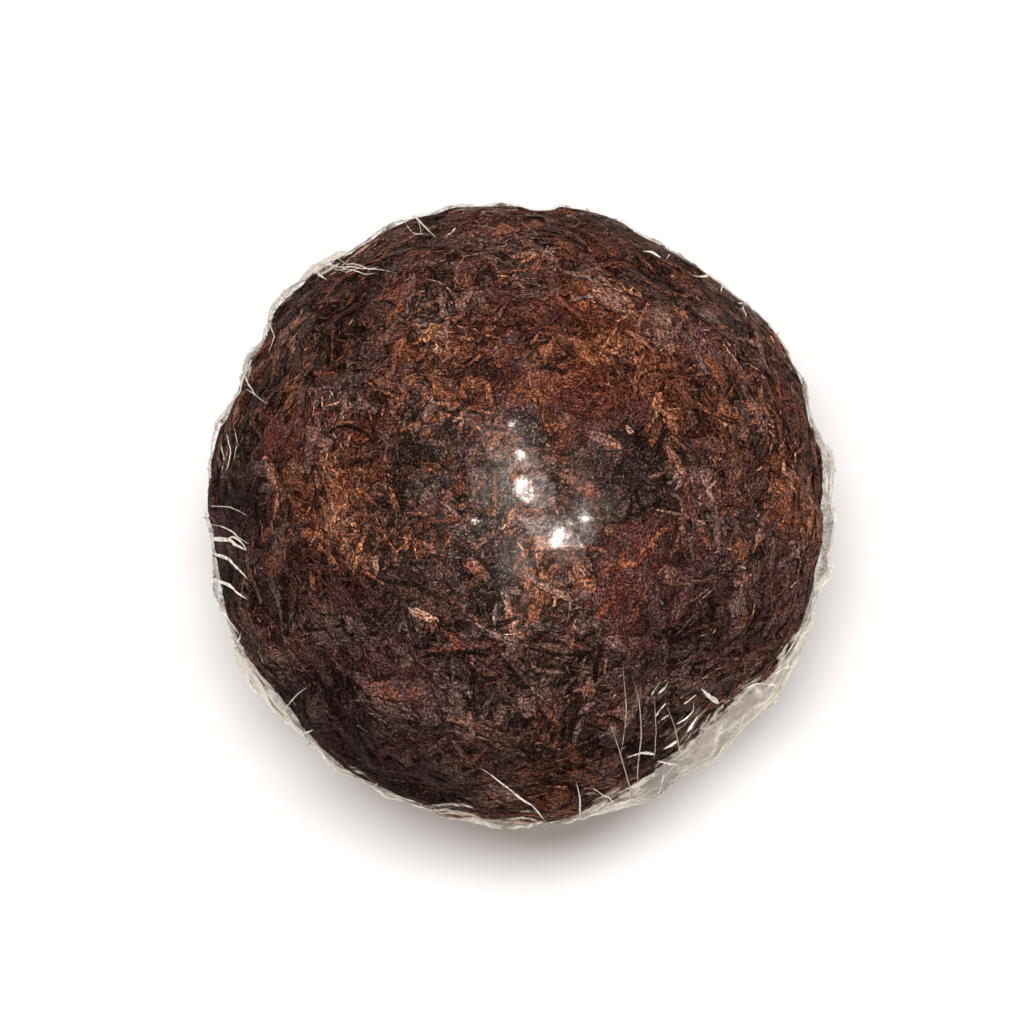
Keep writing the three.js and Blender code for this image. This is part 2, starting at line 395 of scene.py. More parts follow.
# Wander of the pleats: size, turns round the rim, phase
PLEAT_WANDER = ((1.6, 3, 0), (1.1, 7, 1))
# Where the bridges over flats set in, how far under the neck they end, and where the film's room sets in
BRIDGE_ABOVE = (-13, -4)
BRIDGE_END = 4
ROOM_START = (-3, 4)

# Folded film: where it sets in and ends along the run, how far streaks and jags move that, and how crumpled
# (veil) and white each part of it is
ROUND_RIM = 12
UPPER_STREAKS = 2.0
LOWER_STREAKS = 1.5
EDGE_ABOVE = (-7, -4)
EDGE_BELOW = (0, 4)
EDGE_VEIL = 1.1
BRIDGE_SEEN = (0.05, 0.3)
BRIDGE_PALE = (0.3, 0.9)
BRIDGE_BELOW = (1, 6)
BRIDGE_STREAKS = 0.2
BRIDGE_JAGS = 0.25
BRIDGE_WHITE = 0.6
# The hem's white is painted sheen along the film's outer edge
HEM_PLACE = 1.0
HEM_REACH = 2.2
HEM_STREAKS = (-1.2, 0.4)
HEM_VEIL = 0.9
HEM_SHEEN = 0.6
# The brink's white is a painted highlight where the film bends off the leaf
BRINK_HEIGHT = 0.6
BRINK_REACH = 0.35
BRINK_VEIL = 0.4
BRINK_HIGHLIGHT = 0.9
CLEAR_BELOW = (-1, 1)
VEIL_MOST = 1.2
SKIRT_START = (-5, -1)
# Haze of the whole crown: strength and reach in mm
CROWN_HAZE = 0.25
CROWN_HAZE_REACH = 17

# Finish of the film: stretch of its streaks round the rim and down, above the rim and on the skirt, their
# wobble, and how steep they and the lines between facets are
RIM_STRETCH = ((7, 7, 0), (0, 0, 1.0))
PLEAT_STRETCH = ((34, 34, 0), (0, 0, 0.15))
STREAK_WOBBLE = (1.6, 1.6, 1.6)
STREAK_STEEP = 3.4
FACET_CELLS = 1.1
# The pale lines between facets are painted sheen
LINE_STEEP = 8.0
LINE_START = 0.45
# Whiteness of the milky film: least, by streaks, and of creases, which is partly painted highlight
WHITE_LEAST = 0.08
WHITE_STREAKS = 0.75
WHITE_CREASES = 3.0
# What makes it crumpled: veil, streaks and grain above a start
CRUMPLED_BY = (1.1, 0.6, 0.3)
CRUMPLED_START = 0.75
CRUMPLED_STEEP = 3.0
VEIL_STEEP = 6.0
# How milky crumpled film is: least, by streaks, on creases, and on pleats, where it is painted sheen
MILK_LEAST = 0.05
MILK_STREAKS = 0.36
MILK_CREASES = 8.0
PLEAT_SHEEN = 0.7
# Mirror: colours at the rim and on the crown, roughness, and how much smoother glints and the skirt are
RIM_GLEAM = (0.92, 0.88, 0.75, 1)
CROWN_GLEAM = (0.95, 0.83, 0.77, 1)
MIRROR_ROUGH = 0.46
GLINT_SMOOTHER = 0.16
SKIRT_SMOOTHER = 0.2
# Share of the mirror: least, in glints, on the skirt, seen aslant, in folds and in the haze
MIRROR_LEAST = 0.0015
GLINT_MIRROR = 0.12
GLINT_SPARKLE = 1.15
GLINT_STEEP = 5.0
SKIRT_MIRROR = 0.03
ASLANT_MIRROR = 0.015
ASLANT_POWER = 4
FOLD_POWER = 1.5
FOLD_LEAST = 0.25
FOLD_STREAKS = 0.85
HAZE_LEAST = 0.014
HAZE_GRAIN = 0.05
HAZE_START = 0.35
HAZE_STEEP = 2.0

# Uneven fields: length of the waves in mm and seed; and limits of the factor by which their waves are closer
CLOUDS = {
    "broad tone": (17, 5), "fine tone": (7, 6), "red": (12, 8), "warm": (13, 9), "slopes": (5, 10),
    "ridges": (4.2, 21), "grain": (1.9, 22), "body tone": (3.0, 24),
    "crumples": (9, 31), "small crumples": (3.5, 32), "waves": (6.5, 33), "small waves": (2.8, 34),
    "streaks": (1.7, 35), "jags": (0.7, 36),
}
CLOUD_LENGTHS = (0.6, 1.5)

# Seeds of the other random draws
BODY_SEED = 23
LITTER_SEED = 41
SINGLES_SEED = 43
CREASE_SEED = 51

# Creases: points along one, sharp edges in degrees, width in mm above which one is doubled, and the shares of
# that width that the first and the second line have
CREASE_RINGS = 11
CREASE_SHARP = 30
CREASE_BROAD = 0.8
CREASE_WIDTHS = (0.75, 0.35)
# Small creases: share that runs up the cap, limits of length, width and height in mm
UPRIGHT_SHARE = 0.85
SMALL_LENGTH = (2.0, 9.0)
SMALL_WIDTH = (0.15, 0.38)
SMALL_HEIGHT = (0.2, 0.45)
# Their mean place under the rim and its spread in mm, and the spread of their turn in radians and bow in mm
SMALL_RUN = (-0.5, 2.5)
SMALL_TURN = 0.3
SMALL_BOW = 0.3
# Raggedness of the creases: how far a second line lies aside, heights, swell, and its growth to the rim
CREASE_ASIDE = 0.25
CREASE_HEIGHTS = (0.6, 1)
SWELL_POWER = 0.6
SWELL_RAGGED = (0.7, 1.2)
SWELL_TO_RIM = (0.4, 1.3)
LEAST_RUN = 0.1
# A crease's section: lean of the ridge, depth of the root as a share of the height, and sink in mm
LEAN = 0.6
ROOT = 0.5
CREASE_SINK = 0.04
# Brightness of a crease: least, by its width, and raggedness; and how white and how milky it is at least.
# Its white is partly painted highlight.
BRIGHT_LEAST = 0.3
BRIGHT_BY_WIDTH = 0.9
BRIGHT_RAGGED = (0.6, 1.4)
CREASE_WHITE = 1.4
CREASE_MILK = 0.1

# Stage: half the floor's width and its height in mm, sensor in mm, place of the softbox in metres, and the
# surround's light by height
FLOOR_HALF = 3000.0
FLOOR_HEIGHT = -0.2
SENSOR = 36.0
SOFTBOX_PLACE = (-0.025, 0.090, 0.95)
SURROUND_LEVELS = ((0.0, 1.0), (0.4, 0.8), (0.9, 0.3))


def length(name, description, default):
    """A property that holds a length in metres."""
    return FloatProperty(name=name, description=description, default=default, unit="LENGTH", precision=5)


def colour(name, description, default):
    """A property that holds a linear colour."""
    return FloatVectorProperty(
        name=name, description=description, default=default, subtype="COLOR", size=3, min=0, max=1
    )


class TeaSizes(bpy.types.PropertyGroup):
    """Outline of the pressed leaf."""

    cap_radius: length("Cap radius", "Half the width of the leaf at the rim", 0.049)
    cap_rise: length("Cap rise", "Height of the crown above the rim", 0.037)
    rim_height: length("Rim height", "Height of the rim above the foot", 0.050)
    lip_drop: length("Lip drop", "How far the rim keeps its width downwards", 0.011)
    cove_rise: length("Cove rise", "How far the stem keeps its width upwards", 0.017)
    neck_radius: length("Neck radius", "Half the width of the stem at its top", 0.022)
    neck_height: length("Neck height", "Height of the neck above the foot", 0.024)
    stem_end_radius: length("Stem end radius", "Half the width of the stem at its foot", 0.020)
    foot_round: length("Foot round", "Radius of the foot's edge", 0.0045)


class LeafLooks(bpy.types.PropertyGroup):
    """The leaf that shows on the surface, and its colours from dark to light."""

    flakes: IntProperty(name="Flakes", description="Number of broad flakes of leaf", default=1700, min=1)
    strips: IntProperty(name="Strips", description="Number of narrow rolled leaves", default=2200, min=1)
    twigs: IntProperty(name="Twigs", description="Number of twigs", default=70, min=1)
    shreds: IntProperty(name="Shreds", description="Number of small shreds of leaf", default=7000, min=1)
    umber: colour("Umber", "Darkest leaf", (0.0085, 0.0030, 0.0022))
    brown: colour("Brown", "Dark leaf", (0.042, 0.0175, 0.0130))
    russet: colour("Russet", "Middle leaf", (0.110, 0.049, 0.037))
    amber: colour("Amber", "Light leaf", (0.230, 0.111, 0.084))
    straw: colour("Straw", "Palest flakes", (0.470, 0.285, 0.225))
    crimson: colour("Crimson", "Reddest leaf", (0.092, 0.024, 0.022))
    warm: colour("Warm", "Multiplies the colour of leaf that is more orange, halved", (0.535, 0.405, 0.245))
    cool: colour("Cool", "Multiplies the colour of leaf that is more grey, halved", (0.44, 0.605, 0.70))
    # Colour of the painted glints strewn round the crown
    glint_speck: colour("Speck", "Pale specks", (0.40, 0.32, 0.28))


class FilmLooks(bpy.types.PropertyGroup):
    """The clear wrap."""

    gap: length("Gap", "Least room between leaf and film at the rim", 0.0007)
    wall: length("Solid wall", "Wall of the film's solid, which the film runs in the middle of", 0.0005)
    cling: length("Cling", "Room between the film and the body of the leaf on the cap", 0.0007)
    pleats: IntProperty(name="Pleats", description="Number of even pleats round the rim", default=28, min=3)
    pleat_height: length("Pleat height", "Height of a pleat", 0.0007)
    small_creases: IntProperty(
        name="Small creases", description="Number of small creases round the rim", default=120, min=1
    )
    # Top white of the film: painted sheen on lines and hem, painted highlight on the brink, and partly
    # painted highlight on the creases
    tint: colour("Tint", "Colour of the film's creases", (0.86, 0.82, 0.76))
    beige: colour("Beige", "Colour of the folded film where it is pale", (0.50, 0.44, 0.355))
    shade: colour("Shade", "Colour of the crumpled film where it is least pale", (0.16, 0.125, 0.10))


class StageLooks(bpy.types.PropertyGroup):
    """Floor, light and camera."""

    floor: colour("Floor", "Pale floor", (0.90, 0.90, 0.90))
    elevation: FloatProperty(
        name="Elevation", description="How steeply the camera looks down",
        default=math.radians(86), subtype="ANGLE",
    )
    distance: length("Distance", "From the camera to the middle of the rim", 0.62)
    view_width: length("View width", "Width of the picture at the rim", 0.166)
    aside: length("Aside", "How far right of the stem the camera aims", -0.0013)
    beyond: length("Beyond", "How far behind the stem the camera aims", 0.0003)
    softbox: FloatProperty(
        name="Softbox", description="Power of the softbox overhead", default=8.0, unit="POWER"
    )
    softbox_width: length("Softbox width", "Width of the oval softbox", 0.36)
    softbox_depth: length("Softbox depth", "Depth of the oval softbox", 0.18)
    surround: FloatProperty(name="Surround", description="Strength of the pale surround", default=0.84, min=0)
    surround_tint: colour("Surround tint", "Colour of the pale surround", (1.0, 0.87, 0.80))


def draw(number):
    """A fixed draw between 0 and 1 for each number: the fraction of a large sine, as the solids use."""
    wave = np.sin(number * DRAW_TURN) * DRAW_SCALE
    return wave - np.floor(wave)


def between(limits, share):
    """The value at this share of the way from the lower limit to the upper one."""
    return limits[0] + (limits[1] - limits[0]) * share


def smooth(value, low, high):
    """0 below low and 1 above high, with the cubic 3t^2 - 2t^3 between."""
    share = np.clip((value - low) / (high - low), 0, 1)
    return share * share * (3 - 2 * share)


def humps(entries, azimuth):
    """Sum of bell curves over the azimuth: rise * exp(-(angle from its place / half-width)^2)."""
    total = np.zeros_like(azimuth)
    for at, wide, rise in entries:
        away = azimuth - math.radians(at)
        away = np.arctan2(np.sin(away), np.cos(away))
        total = total + rise * np.exp(-((away / math.radians(wide)) ** 2))
    return total


def cloud(points, name, waves=28):
    """An uneven field of about unit strength: plane waves of about its length, summed over random ways."""
    size, seed = CLOUDS[name]
    rng = np.random.default_rng(seed)
    way = rng.normal(size=(3, waves))
    way *= 2 * math.pi / (size * np.linalg.norm(way, axis=0)) * rng.uniform(*CLOUD_LENGTHS, waves)
    phase = rng.uniform(0, 2 * math.pi, waves)
    return np.cos(points @ way + phase).sum(-1) * math.sqrt(2 / waves)


def set_in(value, place, limits):
    """0 before and 1 after two limits that are measured from a place, smooth between them."""
    return smooth(value, place + limits[0], place + limits[1])


def spots(entries, plan):
    """Sum of round soft spots seen from above: strength * exp(-(distance / reach)^2)."""
    total = np.zeros(plan.shape[:-1])
    for x, y, reach, strength in entries:
        away = (plan[..., 0] - x) ** 2 + (plan[..., 1] - y) ** 2
        total = total + strength * np.exp(-away / reach**2)
    return total


def unit(vectors):
    """The vectors at length 1."""
    return vectors / np.linalg.norm(vectors, axis=-1, keepdims=True)


def run_along(points):
    """Length run from the first point to each point."""
    steps = np.hypot(*np.diff(points, axis=0).T)
    return np.concatenate([[0], np.cumsum(steps)])


def spaced(curve, steps, tries=400):
    """Points on a curve of share 0 to 1, at even lengths."""
    points = curve(np.linspace(0, 1, tries + 1)[:, None])
    run = run_along(points)
    wanted = np.linspace(0, run[-1], steps + 1)
    return np.stack([np.interp(wanted, run, axis) for axis in points.T], axis=1)


def outline(size):
    """Crown to sole as (radius, height): a quarter ellipse, a cubic Bezier, a line, a quarter circle, a
    line."""
    sole = size.stem_end_radius - size.foot_round
    rim = np.array([size.cap_radius, size.rim_height])
    lip = rim - (0, size.lip_drop)
    neck = np.array([size.neck_radius, size.neck_height])
    throat = neck + (0, size.cove_rise)
    ankle = np.array([size.stem_end_radius, size.foot_round])

    def dome(t):
        turn = t * math.pi / 2
        return np.hstack([size.cap_radius * np.sin(turn), size.rim_height + size.cap_rise * np.cos(turn)])

    def cove(t):
        return (1 - t) ** 3 * rim + 3 * (1 - t) ** 2 * t * lip + 3 * (1 - t) * t**2 * throat + t**3 * neck

    def stem(t):
        return neck + (ankle - neck) * t

    def foot(t):
        turn = t * math.pi / 2
        return np.hstack([sole + size.foot_round * np.cos(turn), size.foot_round * (1 - np.sin(turn))])

    def base(t):
        return np.array([sole, 0]) * (1 - t)

    return dome, cove, stem, foot, base


def trace(size, steps):
    """The outline's points at these steps, with the direction that faces out at each."""
    parts = [spaced(curve, count) for curve, count in zip(outline(size), steps)]
    points = np.concatenate([parts[0]] + [part[1:] for part in parts[1:]])
    before = np.concatenate([points[:1], points[:-1]])
    after = np.concatenate([points[1:], points[-1:]])
    along = unit(after - before)
    out = np.stack([-along[:, 1], along[:, 0]], axis=1)
    out[0], out[-1] = (0, 1), (0, -1)
    return points, out


def make_crags(points, out):
    """The solids' crags: even by area along the outline, near a golden spiral, lying mostly round the cap."""
    steps = np.diff(run_along(points))
    areas = np.concatenate([[0], np.cumsum(steps * (points[1:, 0] + points[:-1, 0]) / 2)])
    n = np.arange(CRAGS, dtype=float)
    wanted = (n + draw(n + 0.5)) / CRAGS * areas[-1]
    k = np.maximum(1, np.searchsorted(areas, wanted))
    share = ((wanted - areas[k - 1]) / (areas[k] - areas[k - 1]))[:, None]
    place = points[k - 1] + (points[k] - points[k - 1]) * share
    azimuth = (n + CRAG_SCATTER * draw(n + 0.6)) * GOLDEN_ANGLE
    cos, sin, none = np.cos(azimuth), np.sin(azimuth), np.zeros(CRAGS)
    facing = unit(np.stack([cos * out[k, 0], sin * out[k, 0], out[k, 1]], axis=1))
    around = np.stack([-sin, cos, none], axis=1)
    slant = (CRAG_SLANT * (2 * draw(n + 0.1) - 1))[:, None]
    along = around * np.cos(slant) + np.cross(facing, around) * np.sin(slant)
    return Crags(
        centre=np.stack([cos * place[:, 0], sin * place[:, 0], place[:, 1]], axis=1),
        along=along,
        across=np.cross(facing, along),
        out=facing,
        length=between(CRAG_LENGTH, draw(n + 0.2)),
        width=between(CRAG_WIDTH, draw(n + 0.3)),
        height=between(CRAG_HEIGHT, draw(n + 0.4)),
    )


class Skin:
    """The mushroom's surface over azimuth and run, the length along its outline from the crown, in mm."""

    def __init__(self, size):
        self.size = size
        points, self.out = trace(size, FINE_STEPS)
        self.points = points
        self.run = run_along(points)
        ends = np.cumsum(FINE_STEPS)
        self.rim, self.neck, self.ankle, self.sole, self.end = self.run[ends]
        self.crags = make_crags(*trace(size, SOLID_STEPS))

    def at(self, run):
        """Radius, height and outward direction (radial, upward) of the plain body of revolution."""
        table = (self.points[:, 0], self.points[:, 1], self.out[:, 0], self.out[:, 1])
        return [np.interp(run, self.run, column) for column in table]

    def place(self, azimuth, run, stand):
        """Points that stand this far out of the body of revolution."""
        radius, height, outward, upward = self.at(run)
        reach = radius + outward * stand
        return np.stack([reach * np.cos(azimuth), reach * np.sin(azimuth), height + upward * stand], axis=-1)

    def facing(self, azimuth, run):
        """Outward directions, and the level directions that run round the mushroom."""
        _, _, outward, upward = self.at(run)
        facing = np.stack([outward * np.cos(azimuth), outward * np.sin(azimuth), upward], axis=-1)
        around = np.stack([-np.sin(azimuth), np.cos(azimuth), np.zeros_like(azimuth)], axis=-1)
        return unit(facing), around

    def find(self, points):
        """Azimuth and run of the surface point nearest to each point: the nearest of the outline's table,
        then the step along the outline's tangent there."""
        flat = points.reshape(-1, 3)
        azimuth = np.arctan2(flat[:, 1], flat[:, 0])
        plane = np.stack([np.hypot(flat[:, 0], flat[:, 1]), flat[:, 2]], axis=1)
        run = np.empty(len(flat))
        for start in range(0, len(flat), CHUNK):
            part = plane[start:start + CHUNK]
            away = (part**2).sum(1)[:, None] + (self.points**2).sum(1) - 2 * part @ self.points.T
            nearest = away.argmin(1)
            along = np.stack([self.out[nearest, 1], -self.out[nearest, 0]], axis=1)
            run[start:start + CHUNK] = self.run[nearest] + ((part - self.points[nearest]) * along).sum(1)
        shape = points.shape[:-1]
        return azimuth.reshape(shape), np.clip(run, 0, self.end).reshape(shape)

    def crag_height(self, places):
        """Height of the highest crag at each place, less the mean: a plateau with smooth edges on an oval."""
        crags, flat = self.crags, places.reshape(-1, 3)
        highest = np.empty(len(flat))
        ways = (
            (crags.along, crags.length), (crags.across, crags.width), (crags.out, np.full(CRAGS, CRAG_DEPTH)),
        )
        for start in range(0, len(flat), CHUNK):
            part = flat[start:start + CHUNK]
            reach = 0
            for way, scale in ways:
                reach = reach + ((part @ way.T - (crags.centre * way).sum(1)) / scale) ** 2
            plateau = crags.height * (1 - smooth(np.sqrt(reach), CRAG_EDGE, 1))
            highest[start:start + CHUNK] = plateau.max(1)
        return highest.reshape(places.shape[:-1]) - CRAG_MEAN

    def slope(self, azimuth, run):
        """Steepness of the relief, from the heights a step away on each side."""
        step = SLOPE_STEP
        turn = step / np.maximum(self.at(run)[0], 1)
        around = self.relief(azimuth + turn, run) - self.relief(azimuth - turn, run)
        along = self.relief(azimuth, run + step) - self.relief(azimuth, run - step)
        return np.hypot(around, along) / (2 * step)

    def snug(self, azimuth, run):
        """Share of the film's room that the leaf fills: a bell curve over the run from the rim, less on loose
        sides."""
        tight = 1 - humps(LOOSE_SIDES, azimuth)
        return tight * np.exp(-(((run - self.rim) / SNUG_REACH) ** 2))

    def relief(self, azimuth, run):
        """How far the leaf stands out: swells and flats of the rim, crags that are low round the crown, and
        what fills the film's room. All of it fades to nothing on the flat sole."""
        radius, height, _, _ = self.at(run)
        belt = np.minimum(1, radius / self.size.cap_radius) ** 3
        calm = np.minimum(1, radius / CALM_CROWN)
        crags = self.crag_height(self.place(azimuth, run, 0)) * calm
        above = np.minimum(1, height / self.size.foot_round)
        return (humps(SWELLS + FLATS, azimuth) * belt + crags + SNUG * self.snug(azimuth, run)) * above


@functools.lru_cache(maxsize=1)
def skin_of(size):
    """The surface for these sizes, worked out once."""
    return Skin(size)


def skin():
    """The surface for the sizes in the sidebar."""
    sizes = bpy.context.scene.tea_sizes
    return skin_of(Sizes(*(getattr(sizes, name) / MM for name in Sizes._fields)))


def disc_of(x, y):
    """Azimuth and share of the radius for a square's points, rings of the square becoming circles."""
    share = np.maximum(np.abs(x), np.abs(y))
    wide = np.abs(x) >= np.abs(y)
    safe_x = np.where(x == 0, 1, x)
    safe_y = np.where(y == 0, 1, y)
    by_x = np.where(x < 0, math.pi, 0) + math.pi / 4 * y / safe_x
    by_y = np.where(y < 0, -math.pi / 2, math.pi / 2) - math.pi / 4 * x / safe_y
    return np.where(wide, by_x, by_y), share


def square_of(azimuth, share):
    """The way back from disc_of: the square's x and y."""
    quarter = np.round(azimuth / (math.pi / 2))
    off = share * (azimuth - quarter * math.pi / 2) / (math.pi / 4)
    cos, sin = np.cos(quarter * math.pi / 2), np.sin(quarter * math.pi / 2)
    return share * cos - off * sin, share * sin + off * cos


def wrap_grid(leaf, side, skirt_runs):
    """A closed grid over the mushroom: a square of side x side cells laid on the dome, whose border is the
    rim, then rings of 4 * side points at the skirt's runs, the last of them drawn to a point under the
    foot."""
    line = np.linspace(-1, 1, side + 1)
    x, y = np.meshgrid(line, line, indexing="ij")
    dome_azimuth, share = disc_of(x, y)
    index = np.arange((side + 1) ** 2).reshape(side + 1, side + 1)
    ring = np.concatenate([index[:-1, 0], index[-1, :-1], index[:0:-1, -1], index[0, :0:-1]])
    around = len(ring)
    ring_azimuth = dome_azimuth.ravel()[ring]
    rows = len(skirt_runs) - 1
    lower = (side + 1) ** 2 + np.arange(rows * around).reshape(rows, around)
    levels = np.concatenate([ring[None], lower])
    pole = (side + 1) ** 2 + rows * around
    azimuth = np.concatenate([dome_azimuth.ravel(), np.tile(ring_azimuth, rows), [0]])
    run = np.concatenate([share.ravel() * leaf.rim, np.repeat(skirt_runs[:-1], around), skirt_runs[-1:]])
    cells = np.stack([index[:-1, :-1], index[1:, :-1], index[1:, 1:], index[:-1, 1:]], axis=-1).reshape(-1, 4)
    next_levels = np.roll(levels, -1, axis=1)
    bands = np.stack([levels[:-1], levels[1:], next_levels[1:], next_levels[:-1]], axis=-1).reshape(-1, 4)
    fan = np.stack([levels[-1], np.full(around, pole), next_levels[-1]], axis=-1)
    faces = (np.concatenate([cells, bands]), fan)
    return Grid(azimuth, run, faces, grid_bake(side, around, rows, x, y, cells), ring, skirt_runs)


def skirt_runs_of(leaf, *stretches):
    """Runs under the rim: even steps on each stretch, given by its end and its number of steps, then the
    end."""
    starts = [leaf.rim, *(end for end, _ in stretches)]
    parts = [np.linspace(start, end, steps + 1)[1:] for start, (end, steps) in zip(starts, stretches)]
    return np.concatenate([*parts, [leaf.end]])


def grid_bake(side, around, rows, x, y, cells):
    """Texture places of the grid's corners: the dome's square on the upper two thirds, the skirt below it."""
    square = np.stack([x.ravel(), y.ravel()], axis=1) * BAKE_HALF + BAKE_MIDDLE
    step = np.arange(around) / around
    level = BAKE_SKIRT * (1 - np.arange(rows + 2) / (rows + 1))
    left = np.tile(step, rows)
    right = left + 1 / around
    top, bottom = np.repeat(level[:rows], around), np.repeat(level[1:rows + 1], around)
    bands = np.stack([left, top, left, bottom, right, bottom, right, top], axis=1).reshape(-1, 4, 2)
    end, tip = np.full(around, level[rows]), np.full(around, level[rows + 1])
    fan = np.stack([step, end, step + 0.5 / around, tip, step + 1 / around, end], axis=1).reshape(-1, 3, 2)
    return np.concatenate([square[cells], bands]), fan


def put_mesh(name, points, faces, maps, values, sharp=None):
    """A mesh object at the origin from arrays: points in mm, faces as arrays of corners, maps of name to
    corner places for each array of faces, values of name to one number a point."""
    mesh = bpy.data.meshes.new(name)
    corners = np.concatenate([part.ravel() for part in faces]).astype(np.int32)
    sides = np.concatenate([np.full(len(part), part.shape[1]) for part in faces])
    mesh.vertices.add(len(points))
    mesh.vertices.foreach_set("co", (points * MM).astype(np.float32).ravel())
    mesh.loops.add(len(corners))
    mesh.loops.foreach_set("vertex_index", corners)
    mesh.polygons.add(len(sides))
    mesh.polygons.foreach_set("loop_start", np.concatenate([[0], np.cumsum(sides)[:-1]]).astype(np.int32))
    mesh.update(calc_edges=True)
    for map_name, parts in maps.items():
        layer = mesh.uv_layers.new(name=map_name)
        flat = np.concatenate([part.reshape(-1, 2) for part in parts]).astype(np.float32)
        layer.uv.foreach_set("vector", flat.ravel())
    for value_name, numbers in values.items():
        layer = mesh.attributes.new(value_name, "FLOAT", "POINT")
        layer.data.foreach_set("value", np.asarray(numbers, np.float32))
    mesh.shade_smooth()
    if sharp is not None:
        mesh.set_sharp_from_angle(angle=sharp)
    if mesh.validate():
        raise RuntimeError(f"{name}: the mesh had faults")
    made = bpy.data.objects.new(name, mesh)
    bpy.context.scene.collection.objects.link(made)
    return made


def hand_over(piece, material, slot, *nodes):
    """Gives a piece its finish, hangs it under the body's empty, and hides the solids that it stands for."""
    piece.data.materials.append(material)
    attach(piece, BODY)
    if nodes:
        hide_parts(*nodes)
    return piece


class Value:
    """A number that varies over a surface. Arithmetic on it adds Math nodes to the material."""

    def __init__(self, finish, socket):
        self.finish = finish
        self.socket = socket

    def math(self, operation, *values):
        inputs = dict(enumerate(values))
        return self.finish.node("ShaderNodeMath", {"operation": operation}, inputs)

    def __add__(self, other):
        return self.math("ADD", self, other)

    def __sub__(self, other):
        return self.math("SUBTRACT", self, other)

    def __rsub__(self, other):
        return self.math("SUBTRACT", other, self)

    def __mul__(self, other):
        return self.math("MULTIPLY", self, other)

    def __pow__(self, other):
        return self.math("POWER", self, other)

    def clamped(self):
        return self.math("MINIMUM", self.math("MAXIMUM", self, 0), 1)

    __radd__ = __add__
    __rmul__ = __mul__


class Finish:
    """A material whose nodes are added one by one."""

    def __init__(self, name):
        self.material = bpy.data.materials.new(name)
        self.material.use_nodes = True
        self.tree = self.material.node_tree
        self.tree.nodes.clear()

    def node(self, kind, settings=None, inputs=None, output=0):
        """Adds a node of this kind, sets it, gives its sockets values or links, and returns an output."""
        node = self.tree.nodes.new(kind)
        for name, setting in (settings or {}).items():
            if name == "stops":
                self.set_stops(node.color_ramp, setting)
            else:
                setattr(node, name, setting)
        for name, given in (inputs or {}).items():
            if isinstance(given, Value):
                self.tree.links.new(given.socket, node.inputs[name])
            else:
                node.inputs[name].default_value = given
        return Value(self, node.outputs[output])

    @staticmethod
    def set_stops(ramp, stops):
        while len(ramp.elements) < len(stops):
            ramp.elements.new(1)
        for element, (place, shade) in zip(ramp.elements, stops):
            element.position = place
            element.color = (*shade, 1)

    def noise(self, vector, scale, detail=3.0, rough=0.6, distortion=0.0):
        """Smooth noise between 0 and 1, so many waves to the vector's unit."""
        inputs = {
            "Vector": vector, "Scale": scale, "Detail": detail, "Roughness": rough, "Distortion": distortion,
        }
        return self.node("ShaderNodeTexNoise", {}, inputs)

    def millimetres(self):
        """Object coordinates in millimetres."""
        place = self.node("ShaderNodeTexCoord", output=3)
        return self.node("ShaderNodeVectorMath", {"operation": "SCALE"}, {0: place, "Scale": 1 / MM})

    def cells(self, vector, scale):
        """A random number for each cell of a Voronoi pattern, so many cells to the vector's unit."""
        return self.node("ShaderNodeTexVoronoi", {}, {"Vector": vector, "Scale": scale}, "Color")

    def borders(self, vector, scale):
        """Distance to the nearest border between the cells of that pattern."""
        settings = {"feature": "DISTANCE_TO_EDGE"}
        return self.node("ShaderNodeTexVoronoi", settings, {"Vector": vector, "Scale": scale}, "Distance")

    def bump(self, height, strength, distance):
        """A normal from a height, with a distance in millimetres."""
        inputs = {"Height": height, "Strength": strength, "Distance": distance * MM}
        return self.node("ShaderNodeBump", {}, inputs)

    def ramp(self, place, stops):
        """A colour at a place between stops."""
        return self.node("ShaderNodeValToRGB", {"stops": stops}, {0: place})

    def vector(self, operation, *values):
        """A vector worked out from vectors."""
        return self.node("ShaderNodeVectorMath", {"operation": operation}, dict(enumerate(values)))

    def stretched(self, vector, scale):
        """A vector times a vector, axis by axis."""
        return self.vector("MULTIPLY", vector, scale)

    def wobble(self, vector, scale):
        """A smooth random vector, so many waves to the given vector's unit."""
        return self.node("ShaderNodeTexNoise", {}, {"Vector": vector, "Scale": scale, "Detail": 2.0}, "Color")

    def wobbled(self, vector, scale, reach):
        """A vector moved about by smooth noise."""
        return self.vector("MULTIPLY_ADD", self.wobble(vector, scale), (reach,) * 3, vector)

    def attribute(self, name):
        """A number that the piece's points carry."""
        return self.node("ShaderNodeAttribute", {"attribute_name": name}, output=2)

    def blend(self, share, first, second, kind="MIX"):
        """Two colours mixed by a share."""
        settings = {"data_type": "RGBA", "blend_type": kind}
        return self.node("ShaderNodeMix", settings, {0: share, 6: first, 7: second}, output=2)

    def surface(self, shader):
        """Sends a shader to the output and returns the finished material."""
        output = self.tree.nodes.new("ShaderNodeOutputMaterial")
        self.tree.links.new(shader.socket, output.inputs["Surface"])
        return self.material


